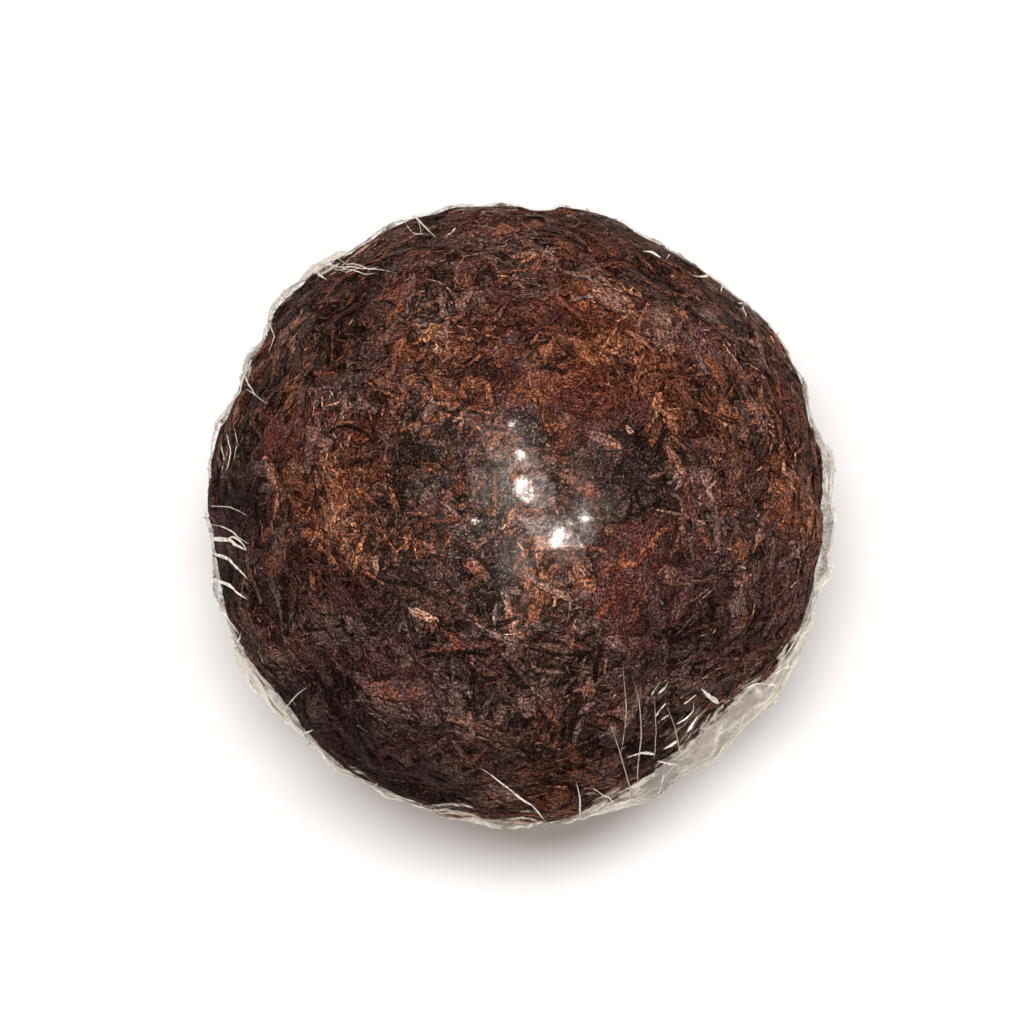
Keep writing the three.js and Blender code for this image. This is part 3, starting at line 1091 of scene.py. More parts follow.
def leaf_finish(name, along_uv):
    """Pressed leaf: colours from umber to straw by each piece's tone, streaked by its strands and fibres,
    in lumps with painted shade in the cracks between them, drawn to orange or to grey, and strewn with pale
    specks of painted glint round the crown. Strands run along a piece of litter, which has painted shade at
    its border. On the body they run in shreds that are each turned another way and have painted shade in the
    gaps between them."""
    looks = bpy.context.scene.tea_leaf
    finish = Finish(name)
    place = finish.millimetres()
    tone = finish.attribute("tone")
    if along_uv:
        way = finish.node("ShaderNodeUVMap", {"uv_map": "fibre"})
        border = finish.attribute("border")
        # Painted shade along the border of each piece of litter
        tone = tone - ((border - BORDER_START) * BORDER_STEEP).clamped() * BORDER_SHADE - LITTER_DARKER
    else:
        shred = finish.wobbled(place, SHRED_WOBBLE, SHRED_WOBBLE_REACH)
        turn = finish.cells(shred, SHRED_CELLS)
        gap = finish.borders(shred, SHRED_CELLS)
        # Painted shade in the gaps between the body's shreds
        tone = tone - (1 - (gap * GAP_STEEP).clamped()) * GAP_SHADE
        turned = {"Vector": place, "Angle": turn * SHRED_TURN}
        way = finish.node("ShaderNodeVectorRotate", {"rotation_type": "Z_AXIS"}, turned)
    level = {0: finish.stretched(place, LEVEL)}
    from_stem = finish.node("ShaderNodeVectorMath", {"operation": "LENGTH"}, level, "Value")
    lump = finish.wobbled(place, LUMP_WOBBLE, LUMP_WOBBLE_REACH)
    lumpy = (LUMPY_CROWN - from_stem * LUMPY_FADE).clamped() * (1 - LUMPY_LEAST) + LUMPY_LEAST
    cracks = (1 - (finish.borders(lump, LUMP_CELLS) * CRACK_STEEP).clamped()) * lumpy
    lumps = (finish.cells(lump, LUMP_CELLS) - 0.5) * lumpy
    strand_way, fibre_way = [finish.stretched(way, waves) for waves in (STRAND_WAVES, FIBRE_WAVES)]
    strands = finish.noise(strand_way, scale=1.0, detail=3, rough=0.7, distortion=0.9)
    fibres = finish.noise(fibre_way, scale=1.0, detail=1, rough=0.6, distortion=0.6)
    mottle = finish.noise(place, scale=0.6, detail=3, rough=0.7)
    flecks = finish.noise(place, scale=3.2, detail=1, rough=0.6)
    tone = tone + (strands - 0.5) * STRAND_TONE + (mottle - 0.5) * MOTTLE_TONE + TONE_LIFT
    # Painted shade in the cracks between lumps
    tone = tone + lumps * LUMP_TONE - cracks * CRACK_SHADE
    stops = (
        (0.0, looks.umber), (0.30, looks.brown), (0.55, looks.russet), (0.78, looks.amber),
        (1.0, looks.straw),
    )
    shade = finish.ramp(tone.clamped(), stops)
    red = (finish.attribute("red") * (mottle * RED_MOTTLE)).clamped() * RED_MOST
    shade = finish.blend(red, shade, (*looks.crimson, 1))
    drift = finish.noise(place, scale=0.9, detail=3, rough=0.75)
    warmth = finish.attribute("warm") + (drift - 0.5) * NOISE_WARMTH + lumps * LUMP_WARMTH
    cool, warm = [(*(2 * part for part in hue), 1) for hue in (looks.cool, looks.warm)]
    shade = finish.blend(1.0, shade, finish.blend(warmth.clamped(), cool, warm), "MULTIPLY")
    grain = fibres * FIBRE_GRAIN + flecks * (1 - FIBRE_GRAIN)
    light = finish.ramp(grain, [(stop, (factor,) * 3) for stop, factor in GRAIN_LIGHT])
    shade = finish.blend(1.0, shade, light, "MULTIPLY")
    # Painted glints: pale specks that fade away from the crown
    near = (GLINT_SPECKS_CROWN - from_stem * GLINT_SPECKS_FADE).clamped() * (mottle * GLINT_SPECKS_MOTTLE).clamped()
    specks = ((finish.noise(place, scale=3.2, detail=0) - GLINT_SPECKS_START) * GLINT_SPECKS_STEEP).clamped() * near
    shade = finish.blend(specks, shade, (*looks.glint_speck, 1))
    inputs = {
        "Base Color": shade, "Roughness": 0.35 + strands * 0.5, "Specular IOR Level": 0.02,
        "Normal": finish.bump(strands + grain * 0.7, strength=0.9, distance=0.4),
    }
    return finish.surface(finish.node("ShaderNodeBsdfPrincipled", {}, inputs))


def film_finish(name, least):
    """Clear film: see-through, and milky where it is crumpled, in streaks that lie along the rim and, below
    it, along the pleats, with pale lines between facets. The pale lines and the milky streaks on the pleats
    are painted sheen, and the white of the creases is partly painted highlight. Its faint mirror is stronger
    in the haze of the crown and in glints, with the fourth power of how far the film faces aside and, in its
    folds, with that to the power 1.5. Creases are at least this milky all over."""
    looks = bpy.context.scene.tea_film
    finish = Finish(name)
    place = finish.millimetres()
    veil, pale, glint, skirt, pleat, crown = [
        finish.attribute(part) for part in ("veil", "pale", "glint", "skirt", "pleat", "crown")
    ]
    ripples = finish.noise(place, scale=0.3, detail=2, rough=0.5)
    grain = finish.noise(place, scale=1.6, detail=2, rough=0.6)
    sparkle = finish.noise(place, scale=2.0, detail=3, rough=0.8)

    level = finish.vector("NORMALIZE", finish.stretched(place, LEVEL))
    along_rim, down = [
        finish.vector("MULTIPLY_ADD", level, around, finish.stretched(place, drop))
        for around, drop in (RIM_STRETCH, PLEAT_STRETCH)
    ]
    way = finish.vector("MULTIPLY_ADD", finish.vector("SUBTRACT", down, along_rim), skirt, along_rim)
    way = finish.vector("MULTIPLY_ADD", finish.wobble(place, scale=0.3), STREAK_WOBBLE, way)
    streaks = finish.noise(way, scale=1.2, detail=3, rough=0.8)
    streaky = ((streaks - 0.5) * STREAK_STEEP + 0.5).clamped()
    facet = finish.cells(way, FACET_CELLS)
    lines = 1 - (finish.borders(way, FACET_CELLS) * LINE_STEEP).clamped()

    # Pale lines between facets are painted sheen
    white = pale * (WHITE_LEAST + streaky * WHITE_STREAKS) + lines * (facet - pale).clamped()
    # The white of creases is partly painted highlight
    white = (white + least * WHITE_CREASES).clamped()
    stops = ((0.0, looks.shade), (0.5, looks.beige), (1.0, looks.tint))
    milk_inputs = {"Base Color": finish.ramp(white, stops), "Roughness": 0.5, "Specular IOR Level": 0.0}
    milk = finish.node("ShaderNodeBsdfPrincipled", {}, milk_inputs)
    clear = finish.node("ShaderNodeBsdfTransparent")
    by_veil, by_streaks, by_grain = CRUMPLED_BY
    crumpled = veil * by_veil + streaky * by_streaks + grain * by_grain - CRUMPLED_START
    crumpled = (crumpled * CRUMPLED_STEEP).clamped() * (veil * VEIL_STEEP).clamped()
    # Painted sheen: pale lines between facets on the skirt and milky streaks on the pleats
    sheen_lines = lines * (facet - LINE_START).clamped() * skirt + pleat * streaky * PLEAT_SHEEN
    milky = crumpled * (MILK_LEAST + pale * streaky * MILK_STREAKS + least * MILK_CREASES)
    milky = (least + milky + sheen_lines).clamped()
    seen = finish.node("ShaderNodeMixShader", {}, {0: milky, 1: clear, 2: milk})

    mirror_inputs = {
        "Base Color": finish.blend(crown.clamped(), RIM_GLEAM, CROWN_GLEAM), "Metallic": 1.0,
        "Roughness": MIRROR_ROUGH - glint * GLINT_SMOOTHER - skirt * SKIRT_SMOOTHER,
        "Normal": finish.bump(ripples + grain * 0.15, strength=0.4, distance=0.8),
    }
    mirror = finish.node("ShaderNodeBsdfPrincipled", {}, mirror_inputs)
    aslant = finish.node("ShaderNodeLayerWeight", {}, {"Blend": 0.5}, "Facing")
    glints = ((glint - sparkle * GLINT_SPARKLE) * GLINT_STEEP).clamped()
    haze = crown * (HAZE_LEAST + ((grain - HAZE_START) * HAZE_STEEP).clamped() * HAZE_GRAIN)
    folds = crumpled * aslant**FOLD_POWER * (FOLD_LEAST + streaky * FOLD_STREAKS)
    share = MIRROR_LEAST + haze + glints * GLINT_MIRROR + skirt * SKIRT_MIRROR
    share = (share + aslant**ASLANT_POWER * ASLANT_MIRROR + folds * (1 - least)).clamped()
    return finish.surface(finish.node("ShaderNodeMixShader", {}, {0: share, 1: seen, 2: mirror}))


def leaf_tone(leaf, azimuth, run, rng, spread):
    """Tone, redness and warmth of leaf at places: a middle tone, random for each piece, the cap's patches
    and clouds, and painted shade in hollows and on the slopes of crags. The light patches are warm and the
    dark ones cool."""
    points = leaf.place(azimuth, run, 0)
    upper = smooth(points[..., 2], *PATCH_HEIGHTS)
    some = points.shape[:-1]
    sunk = np.minimum(0, leaf.crag_height(points))
    steep = smooth(leaf.slope(azimuth, run), *SLOPE_LIMITS)
    steep = steep * (SLOPE_EVEN + SLOPE_UNEVEN * cloud(points, "slopes"))
    patches = spots(TONE_PATCHES, points) * upper
    reds = spots(RED_PATCHES, points)
    clouds = cloud(points, "broad tone") * BROAD_TONE + cloud(points, "fine tone") * FINE_TONE
    own = rng.normal(0, 1, some)
    tone = TONE_MIDDLE + spread * own + clouds + patches * TONE_OF_PATCH
    # Painted shade: darker in the hollows between crags and on their slopes
    tone = tone + HOLLOW_SHADE * sunk - SLOPE_SHADE * steep
    red = reds * upper + cloud(points, "red") * RED_OF_CLOUD + rng.normal(0, RED_SPREAD, some)
    warm = WARM_MIDDLE + WARM_OF_PATCH * patches
    warm = warm + (spots(WARM_PATCHES, points) + WARM_OF_RED * reds) * upper
    warm = warm + WARM_OF_CLOUD * cloud(points, "warm") + WARM_OF_TONE * own
    warm = warm + rng.normal(0, WARM_SPREAD, some)
    return {"tone": np.clip(tone, *TONE_LIMITS), "red": np.clip(red, 0, 1), "warm": np.clip(warm, 0, 1)}


def spindle_faces(count, rings, around):
    """Corners of count closed bodies, each of rings of points between a first and a last tip."""
    body = np.arange(rings * around).reshape(rings, around)
    turned = np.roll(body, -1, axis=1)
    quads = np.stack([body[:-1], turned[:-1], turned[1:], body[1:]], axis=-1).reshape(-1, 4)
    first, last = rings * around, rings * around + 1
    front = np.stack([np.full(around, first), turned[0], body[0]], axis=-1)
    back = np.stack([np.full(around, last), body[-1], turned[-1]], axis=-1)
    caps = np.concatenate([front, back])
    start = (np.arange(count) * (rings * around + 2))[:, None, None]
    return (quads + start).reshape(-1, 4), (caps + start).reshape(-1, 3)


def spindle_bake(count, rings, around):
    """Texture places of the bodies' corners: each body has its own cell of a square sheet."""
    columns = math.ceil(math.sqrt(count))
    cell = np.stack([np.arange(count) % columns, np.arange(count) // columns], axis=1)[:, None, None, :]
    turn = np.arange(around) / around
    along = BAKE_TIP + (1 - 2 * BAKE_TIP) * np.arange(rings) / max(rings - 1, 1)
    left, right = np.repeat(along[:-1], around), np.repeat(along[1:], around)
    low, high = np.tile(turn, rings - 1), np.tile(turn + 1 / around, rings - 1)
    quads = np.stack([left, low, left, high, right, high, right, low], axis=1).reshape(-1, 4, 2)
    none, full = np.zeros(around), np.ones(around)
    start, stop = np.full(around, along[0]), np.full(around, along[-1])
    middle, top = turn + 0.5 / around, turn + 1 / around
    front = np.stack([none, middle, start, top, start, turn], axis=1).reshape(-1, 3, 2)
    back = np.stack([full, middle, stop, turn, stop, top], axis=1).reshape(-1, 3, 2)
    caps = np.concatenate([front, back])
    return tuple((cell + BAKE_EDGE + BAKE_INNER * part[None]) / columns for part in (quads, caps))


def scatter(leaf, rng, count, stop):
    """Azimuths and runs spread evenly by area from the crown to a run, thinner under the rim."""
    share = np.where(leaf.run > leaf.rim + UNDER_RIM, UNDER_RIM_SHARE, 1.0)
    weight = leaf.points[:, 0] * share * (leaf.run < stop)
    area = np.concatenate([[0], np.cumsum((weight[1:] + weight[:-1]) / 2 * np.diff(leaf.run))])
    n = np.arange(count)
    run = np.interp((n + rng.uniform(0, 1, count)) / count * area[-1], area, leaf.run)
    return n * GOLDEN_ANGLE + rng.normal(0, AZIMUTH_SPREAD, count), run


def lay_litter(leaf, rng, kind, azimuth, run, heading, sizes):
    """Flat spindles of leaf pressed on the surface. At share u along and turn v round the section, forward
    = length * (u - 1/2), half-width = width / 2 * swell(u) * rag, sideways = half-width * cos v plus a bow,
    height = thickness * swell(u) * sin v plus sink, tilt and pitch, where swell is sin(pi u) to the power
    blunt. The point in the tangent plane is then brought onto the surface and raised by its height."""
    shares, around = np.array(kind.shares), kind.around
    count, rings = len(azimuth), len(shares)
    long, wide, thick = sizes
    facing, round_way = leaf.facing(azimuth, run)
    inward = np.cross(facing, round_way)
    turn = heading[:, None]
    along = round_way * np.cos(turn) + inward * np.sin(turn)
    across = np.cross(facing, along)
    centre = leaf.place(azimuth, run, 0)

    u = np.concatenate([shares, [0.0, 1.0]])
    swell = np.concatenate([np.sin(math.pi * shares) ** kind.blunt, [0.0, 0.0]])
    v = np.arange(around) / around * 2 * math.pi
    ragged = 1 + kind.rag * rng.uniform(-1, 1, (count, rings + 2, 2))
    side = np.where(np.cos(v) >= 0, 0, 1)
    half = (wide / 2)[:, None] * swell
    bow = rng.normal(0, BOW, count) * long
    forward = long[:, None] * (u - 0.5)
    bowed = bow[:, None] * (1 - (2 * u - 1) ** 2)
    a = np.repeat(forward[:, :, None], around, axis=2)
    b = half[:, :, None] * np.cos(v) * ragged[:, :, side] + bowed[:, :, None]
    tilt, pitch = rng.normal(0, kind.lift, (2, count, 1, 1))
    curl = rng.normal(0, CURL, (count, 1, 1))
    sink = rng.uniform(*kind.sink, (count, 1, 1))
    h = (thick[:, None] * swell)[:, :, None] * np.sin(v) + sink + tilt * b
    h = h + pitch * PITCH_SHARE * a + curl * b**2

    def flatten(values):
        """Rings of points, then one point for each tip."""
        body = values[:, :rings].reshape(count, rings * around, *values.shape[3:])
        return np.concatenate([body, values[:, rings:, 0]], axis=1)

    a, b, h = flatten(a), flatten(b), flatten(h)
    plane = centre[:, None] + along[:, None] * a[..., None] + across[:, None] * b[..., None]
    azimuths, runs = leaf.find(plane)
    h = np.minimum(h, LITTER_TOP - LITTER_TOP_SNUG * leaf.snug(azimuths, runs))
    points = leaf.place(azimuths, runs, leaf.relief(azimuths, runs) + h)
    shift = rng.uniform(0, FIBRE_SHEET, (count, 1, 2))
    return points, np.stack([a, b], axis=-1) + shift


def put_litter(kind, points, fibre, tones):
    """A joined mesh of one kind of leaf litter, with a tone, a redness and a warmth for each piece, and how
    near its border each point is: |cos v| round the section, and 1 at the tips."""
    count, each = points.shape[:2]
    rings = len(kind.shares)
    faces = spindle_faces(count, rings, kind.around)
    flat = fibre.reshape(-1, 2)
    maps = {
        "OFBake": spindle_bake(count, rings, kind.around),
        "fibre": tuple(flat[part] for part in faces),
    }
    values = {name: np.repeat(numbers, each) for name, numbers in tones.items()}
    turn = np.arange(kind.around) / kind.around * 2 * math.pi
    border = np.concatenate([np.tile(np.abs(np.cos(turn)), rings), [1, 1]])
    values["border"] = np.tile(border, count)
    return put_mesh(kind.name, points.reshape(-1, 3), faces, maps, values, math.radians(kind.sharp))


def strew(leaf, rng, kind, count):
    """So many pieces of litter over the whole mushroom but its sole, lying mostly round it towards the
    rim."""
    sizes = [rng.uniform(*limits, count) for limits in (kind.length, kind.width, kind.thick)]
    azimuth, run = scatter(leaf, rng, count, leaf.ankle)
    outer = np.minimum(1, leaf.at(run)[0] / leaf.size.cap_radius)
    heading = rng.normal(0, 1, count) * between(HEADING_SPREAD, outer**2)
    points, fibre = lay_litter(leaf, rng, kind, azimuth, run, heading, sizes)
    return put_litter(kind, points, fibre, leaf_tone(leaf, azimuth, run, rng, kind.spread))


def place_singles(leaf, kind, singles):
    """The leaves that stand out, where the photograph shows them."""
    x, y, heading, long, wide, tone, red = np.array(singles, float).T
    azimuth, run = on_cap(leaf, np.stack([x, y], axis=1))
    away = np.radians(heading) - azimuth
    turn = np.arctan2(-np.cos(away), np.sin(away))
    rng = np.random.default_rng(SINGLES_SEED)
    sizes = long, wide, np.full(len(x), SINGLE_THICK)
    points, fibre = lay_litter(leaf, rng, kind, azimuth, run, turn, sizes)
    tones = {"tone": tone, "red": red, "warm": np.full(len(x), SINGLE_WARMTH)}
    return put_litter(kind, points, fibre, tones)


def camera_place():
    """Where the camera stands, where it aims, and its upright, in metres."""
    looks = bpy.context.scene.tea_stage
    aim = np.array([looks.aside, looks.beyond, bpy.context.scene.tea_sizes.rim_height])
    flat, tall = math.cos(looks.elevation), math.sin(looks.elevation)
    return aim + looks.distance * np.array([0, -flat, tall]), aim, np.array([0, tall, flat])


def on_cap(leaf, pixels):
    """Azimuth and run of the cap where the camera sees pixels of its picture. Along each line of sight the
    height is that of the dome at the last guess, again and again."""
    stand, aim, upright = camera_place()
    across = bpy.context.scene.tea_stage.view_width / PICTURE
    right = (pixels[..., 0] - PICTURE / 2) * across
    up = (PICTURE / 2 - pixels[..., 1]) * across
    seen = aim + right[..., None] * np.array([1, 0, 0]) + up[..., None] * upright
    way = (seen - stand) / MM
    height = np.full(right.shape, leaf.size.rim_height)
    for _ in range(SIGHT_ROUNDS):
        share = (height - stand[2] / MM) / way[..., 2]
        place = stand[:2] / MM + share[..., None] * way[..., :2]
        radius = np.hypot(place[..., 0], place[..., 1])
        inside = np.minimum(radius / leaf.size.cap_radius, 1)
        height = leaf.size.rim_height + leaf.size.cap_rise * np.sqrt(1 - inside**2)
    cap = leaf.run <= leaf.rim
    run = np.interp(radius, leaf.points[cap, 0], leaf.run[cap])
    return np.arctan2(place[..., 1], place[..., 0]), run


def on_plan(leaf, entries):
    """Spots given by pixels of the picture as spots seen from above: x, y, reach and strength."""
    table = np.array(entries)
    azimuth, run = on_cap(leaf, table[:, :2])
    radius = leaf.at(run)[0]
    return np.column_stack([radius * np.cos(azimuth), radius * np.sin(azimuth), table[:, 2:]])


class TEA_OT_leaf_body(bpy.types.Operator):
    """Make the pressed body of leaf, crown to sole"""

    bl_idname = "tea.leaf_body"
    bl_label = "Leaf body"

    def execute(self, context):
        leaf = skin()
        ends = (leaf.neck, leaf.ankle, leaf.sole)
        grid = wrap_grid(leaf, BODY_SIDE, skirt_runs_of(leaf, *zip(ends, BODY_STEPS)))
        plain = leaf.place(grid.azimuth, grid.run, 0)
        above = np.minimum(1, plain[:, 2] / leaf.size.foot_round)
        ridges = RIDGE_HEIGHT * (1 - 2 * np.abs(cloud(plain, "ridges")))
        litter = ridges + GRAIN_HEIGHT * cloud(plain, "grain") - BODY_SINK
        stand = leaf.relief(grid.azimuth, grid.run) + litter * above - SOLE_SINK * (1 - above)
        points = leaf.place(grid.azimuth, grid.run, stand)
        values = leaf_tone(leaf, grid.azimuth, grid.run, np.random.default_rng(BODY_SEED), BODY_SPREAD)
        # Painted shade: the body is darker where it shows in the gaps between the litter
        values["tone"] = np.clip(values["tone"] - BODY_GAP_SHADE + BODY_CLOUD * cloud(plain, "body tone"), 0, 1)
        piece = put_mesh("leaf_body", points, grid.faces, {"OFBake": grid.bake}, values)
        hand_over(piece, leaf_finish("pressed_leaf", False), "tea_leaf", "tea")
        return {"FINISHED"}


class TEA_OT_leaf_litter(bpy.types.Operator):
    """Lay flakes, rolled strips, twigs, shreds and single leaves on the body"""

    bl_idname = "tea.leaf_litter"
    bl_label = "Leaf litter"

    def execute(self, context):
        leaf, looks = skin(), context.scene.tea_leaf
        finish = leaf_finish("loose_leaf", True)
        rng = np.random.default_rng(LITTER_SEED)
        kinds = ((FLAKE, looks.flakes), (STRIP, looks.strips), (TWIG, looks.twigs), (SHRED, looks.shreds))
        pieces = [strew(leaf, rng, kind, count) for kind, count in kinds]
        for piece in (*pieces, place_singles(leaf, SINGLE, SINGLE_LEAVES)):
            hand_over(piece, finish, "tea_leaf", "tea")
        return {"FINISHED"}


def membrane(height, floor_height, turns):
    """A taut sheet over an uneven floor: again and again the mean of the four neighbours, never below the
    floor."""
    for _ in range(turns):
        wide = np.pad(height, 1, mode="edge")
        mean = (wide[:-2, 1:-1] + wide[2:, 1:-1] + wide[1:-1, :-2] + wide[1:-1, 2:]) / 4
        height = np.maximum(floor_height, mean)
    return height


class Film:
    """The film's grid, how far it stands out of the body of revolution, and how folded it is. On the cap it
    is a taut sheet over the crags, a little uneven. From above the rim to the neck it also bridges the
    flats and is gathered in pleats and folds, which swell as sin(pi sqrt(share)) of the way, and crumpled in
    sharp ridges, 1 - 1.3 |cloud| where that is above 0. Under the neck it lies on the stem in shallow
    pleats, and on the sole it is flat."""

    side = FILM_SIDE
    turns = FILM_ROUNDS

    def __init__(self, leaf, looks):
        self.leaf = leaf
        ends = (leaf.rim + FILM_FINE, leaf.neck, leaf.ankle, leaf.sole)
        self.grid = wrap_grid(leaf, self.side, skirt_runs_of(leaf, *zip(ends, FILM_STEPS)))
        azimuth, run = self.grid.azimuth, self.grid.run
        plain = leaf.place(azimuth, run, 0)
        radius, height, _, _ = leaf.at(run)
        belt = set_in(run, leaf.rim, CRUMPLE_BELT) * (1 - set_in(run, leaf.rim, CRUMPLE_END))
        crumple = 1 - np.minimum(1, CRUMPLE_SHARP * np.abs(cloud(plain, "crumples")))
        small = 1 - np.minimum(1, CRUMPLE_SHARP * np.abs(cloud(plain, "small crumples")))
        crumpled = belt * (CRUMPLE_HEIGHT * crumple + SMALL_CRUMPLE_HEIGHT * small - CRUMPLE_SINK)
        uneven = WAVE_HEIGHT * cloud(plain, "waves") + SMALL_WAVE_HEIGHT * cloud(plain, "small waves")
        stem = smooth(run, leaf.neck - STEM_START, leaf.neck)
        wander = STEM_PLEATS * azimuth + STEM_WANDER * np.sin(3 * azimuth)
        stem_pleats = stem * (STEM_PLEAT_HALF + STEM_PLEAT_HALF * np.cos(wander))
        above_sole = np.minimum(1, height / leaf.size.foot_round)
        gathered, bridge = self.gathers(looks, radius)
        stand = self.taut(looks) + gathered + bridge + uneven * (1 - belt) + crumpled
        self.stand = (stand + stem_pleats) * above_sole
        self.mark_folds(azimuth, run, plain, bridge)
        stem_crest = (stem_pleats / (2 * STEM_PLEAT_HALF)) ** STEM_CREST_POWER
        self.pleat = self.skirt * (self.crest * (1 - stem) + stem * stem_crest)
        cap = run < leaf.rim
        haze = CROWN_HAZE * np.exp(-((radius / CROWN_HAZE_REACH) ** 2))
        self.crown = (haze + spots(on_plan(leaf, HAZES), plain)) * cap
        self.glint = spots(on_plan(leaf, GLINTS), plain) * cap

    def mark_folds(self, azimuth, run, plain, bridge):
        """How crumpled the film is (veil), how pale, and where it hangs in pleats (skirt): a band with
        streaked edges along the rim on the pale sides, the bridges over flats, the milky patches of the
        cap, a hem just under the rim, and the brink of each of these. The hem's white is painted sheen along
        the film's edge, and the brink's white a painted highlight where the film bends off the leaf."""
        leaf = self.leaf
        cap = run < leaf.rim
        along_rim = np.stack([ROUND_RIM * np.cos(azimuth), ROUND_RIM * np.sin(azimuth), run], axis=1)
        streaks, jags = cloud(along_rim, "streaks"), cloud(along_rim, "jags")
        ragged = run + LOWER_STREAKS * streaks
        pale_side = np.minimum(1, humps(PALE_SIDES, azimuth))
        edge = set_in(run + UPPER_STREAKS * streaks, leaf.rim, EDGE_ABOVE)
        edge = edge * (1 - set_in(ragged, leaf.rim, EDGE_BELOW))
        torn = bridge + BRIDGE_STREAKS * streaks + BRIDGE_JAGS * jags
        bridged = smooth(bridge, *BRIDGE_SEEN) * smooth(torn, *BRIDGE_PALE)
        bridged = bridged * (1 - set_in(ragged, leaf.rim, BRIDGE_BELOW))
        milky = spots(on_plan(leaf, MILKY_PATCHES), plain) * cap
        hem = np.exp(-(((run - leaf.rim - HEM_PLACE) / HEM_REACH) ** 2)) * smooth(streaks, *HEM_STREAKS)
        hem = hem * (0.5 + 0.5 * pale_side)
        brink = np.exp(-(((bridge - BRINK_HEIGHT) / BRINK_REACH) ** 2)) * cap
        brink = brink + 4 * edge * (1 - edge) * pale_side * cap
        veil = EDGE_VEIL * edge * pale_side + bridged + milky + HEM_VEIL * hem
        veil = veil + BRINK_VEIL * brink * (jags > 0)
        clear = 1 - humps(CLEAR_SIDES, azimuth) * (1 - set_in(run, leaf.rim, CLEAR_BELOW))
        self.veil = np.clip(veil, 0, VEIL_MOST) * clear
        pale = np.clip(pale_side + BRIDGE_WHITE * bridged + milky, 0, 1)
        # Painted sheen on the hem and painted highlight on the brink
        self.pale = pale + HEM_SHEEN * hem + BRINK_HIGHLIGHT * brink
        skirt = set_in(run + streaks, leaf.rim, SKIRT_START) * (1 - smooth(run, leaf.ankle, leaf.sole))
        self.skirt = skirt * (1 - bridged)

    def gathers(self, looks, radius):
        """Pleats, folds and room where the film is gathered, and its bridges over the flats of the rim."""
        leaf, azimuth, run = self.leaf, self.grid.azimuth, self.grid.run
        above_rows, below_rows = SOLID_FILM_ROWS
        start = leaf.rim * (1 - above_rows / SOLID_STEPS[0])
        share = np.interp(run, [start, leaf.rim, leaf.neck], [0, above_rows / (above_rows + below_rows), 1])
        swell = np.sin(math.pi * np.sqrt(share))
        uneven = looks.pleats * azimuth
        for size, turns, phase in PLEAT_WANDER:
            uneven = uneven + size * np.sin(turns * azimuth + phase)
        self.crest = (0.5 + 0.5 * np.cos(uneven)) ** CREST_POWER
        pleat = (0.5 + 0.5 * np.cos(uneven)) ** 2 * looks.pleat_height / MM
        bridge = humps(SPANS, azimuth) - humps(FLATS[1:], azimuth)
        bridge = bridge * np.minimum(1, radius / leaf.size.cap_radius) ** 3
        bridge = bridge * set_in(run, leaf.rim, BRIDGE_ABOVE)
        bridge = bridge * (1 - smooth(run, leaf.neck, leaf.neck + BRIDGE_END))
        room = (looks.gap + looks.wall / 2 - looks.cling) / MM * set_in(run, start, ROOM_START)
        snug = leaf.snug(azimuth, run)
        room = room - np.where(snug > 0, SNUG_ROOM * np.minimum(1, snug), SNUG * snug)
        folds = (pleat + humps(FOLDS, azimuth)) * swell
        return room + folds * (1 - SNUG_PLEATS * np.clip(snug, 0, 1)), bridge

    def taut(self, looks):
        """The film as a taut sheet over the leaf, on the cap's square and on the skirt."""
        grid = self.grid
        under = self.leaf.relief(grid.azimuth, grid.run) + looks.cling / MM
        cap = (self.side + 1) ** 2
        dome = under[:cap].reshape(self.side + 1, self.side + 1)
        skirt = np.concatenate([under[grid.ring], under[cap:-1]]).reshape(-1, len(grid.ring))
        dome, skirt = membrane(dome, dome, self.turns), membrane(skirt, skirt, self.turns)
        return np.concatenate([dome.ravel(), skirt[1:].ravel(), [0]])

    def stand_at(self, azimuth, run):
        """How far the film stands out at any place above the sole, between the four grid points round it."""
        grid, leaf = self.grid, self.leaf
        cap, around = (self.side + 1) ** 2, len(grid.ring)
        x, y = square_of(azimuth, np.minimum(1, run / leaf.rim))
        dome = self.stand[:cap].reshape(self.side + 1, self.side + 1)
        on_dome = sample(dome, (x + 1) / 2 * self.side, (y + 1) / 2 * self.side)
        skirt = np.concatenate([self.stand[grid.ring], self.stand[cap:-1]]).reshape(-1, around)
        skirt = np.concatenate([skirt, skirt[:, :1]], axis=1)
        rows = np.concatenate([[leaf.rim], grid.skirt_runs[:-1]])
        # The ring starts at the square's corner, 3/8 of a turn before azimuth 0
        column = (azimuth / (2 * math.pi) + 3 / 8) % 1 * around
        below = sample(skirt, np.interp(run, rows, np.arange(len(rows))), column)
        return np.where(run <= leaf.rim, on_dome, below)


def sample(table, row, column):
    """Values of a table between its rows and columns, by the shares of the four entries round each place."""
    i = np.clip(np.floor(row).astype(int), 0, table.shape[0] - 2)
    j = np.clip(np.floor(column).astype(int), 0, table.shape[1] - 2)
    s, t = row - i, column - j
    upper = table[i, j] * (1 - t) + table[i, j + 1] * t
    lower = table[i + 1, j] * (1 - t) + table[i + 1, j + 1] * t
    return upper * (1 - s) + lower * s


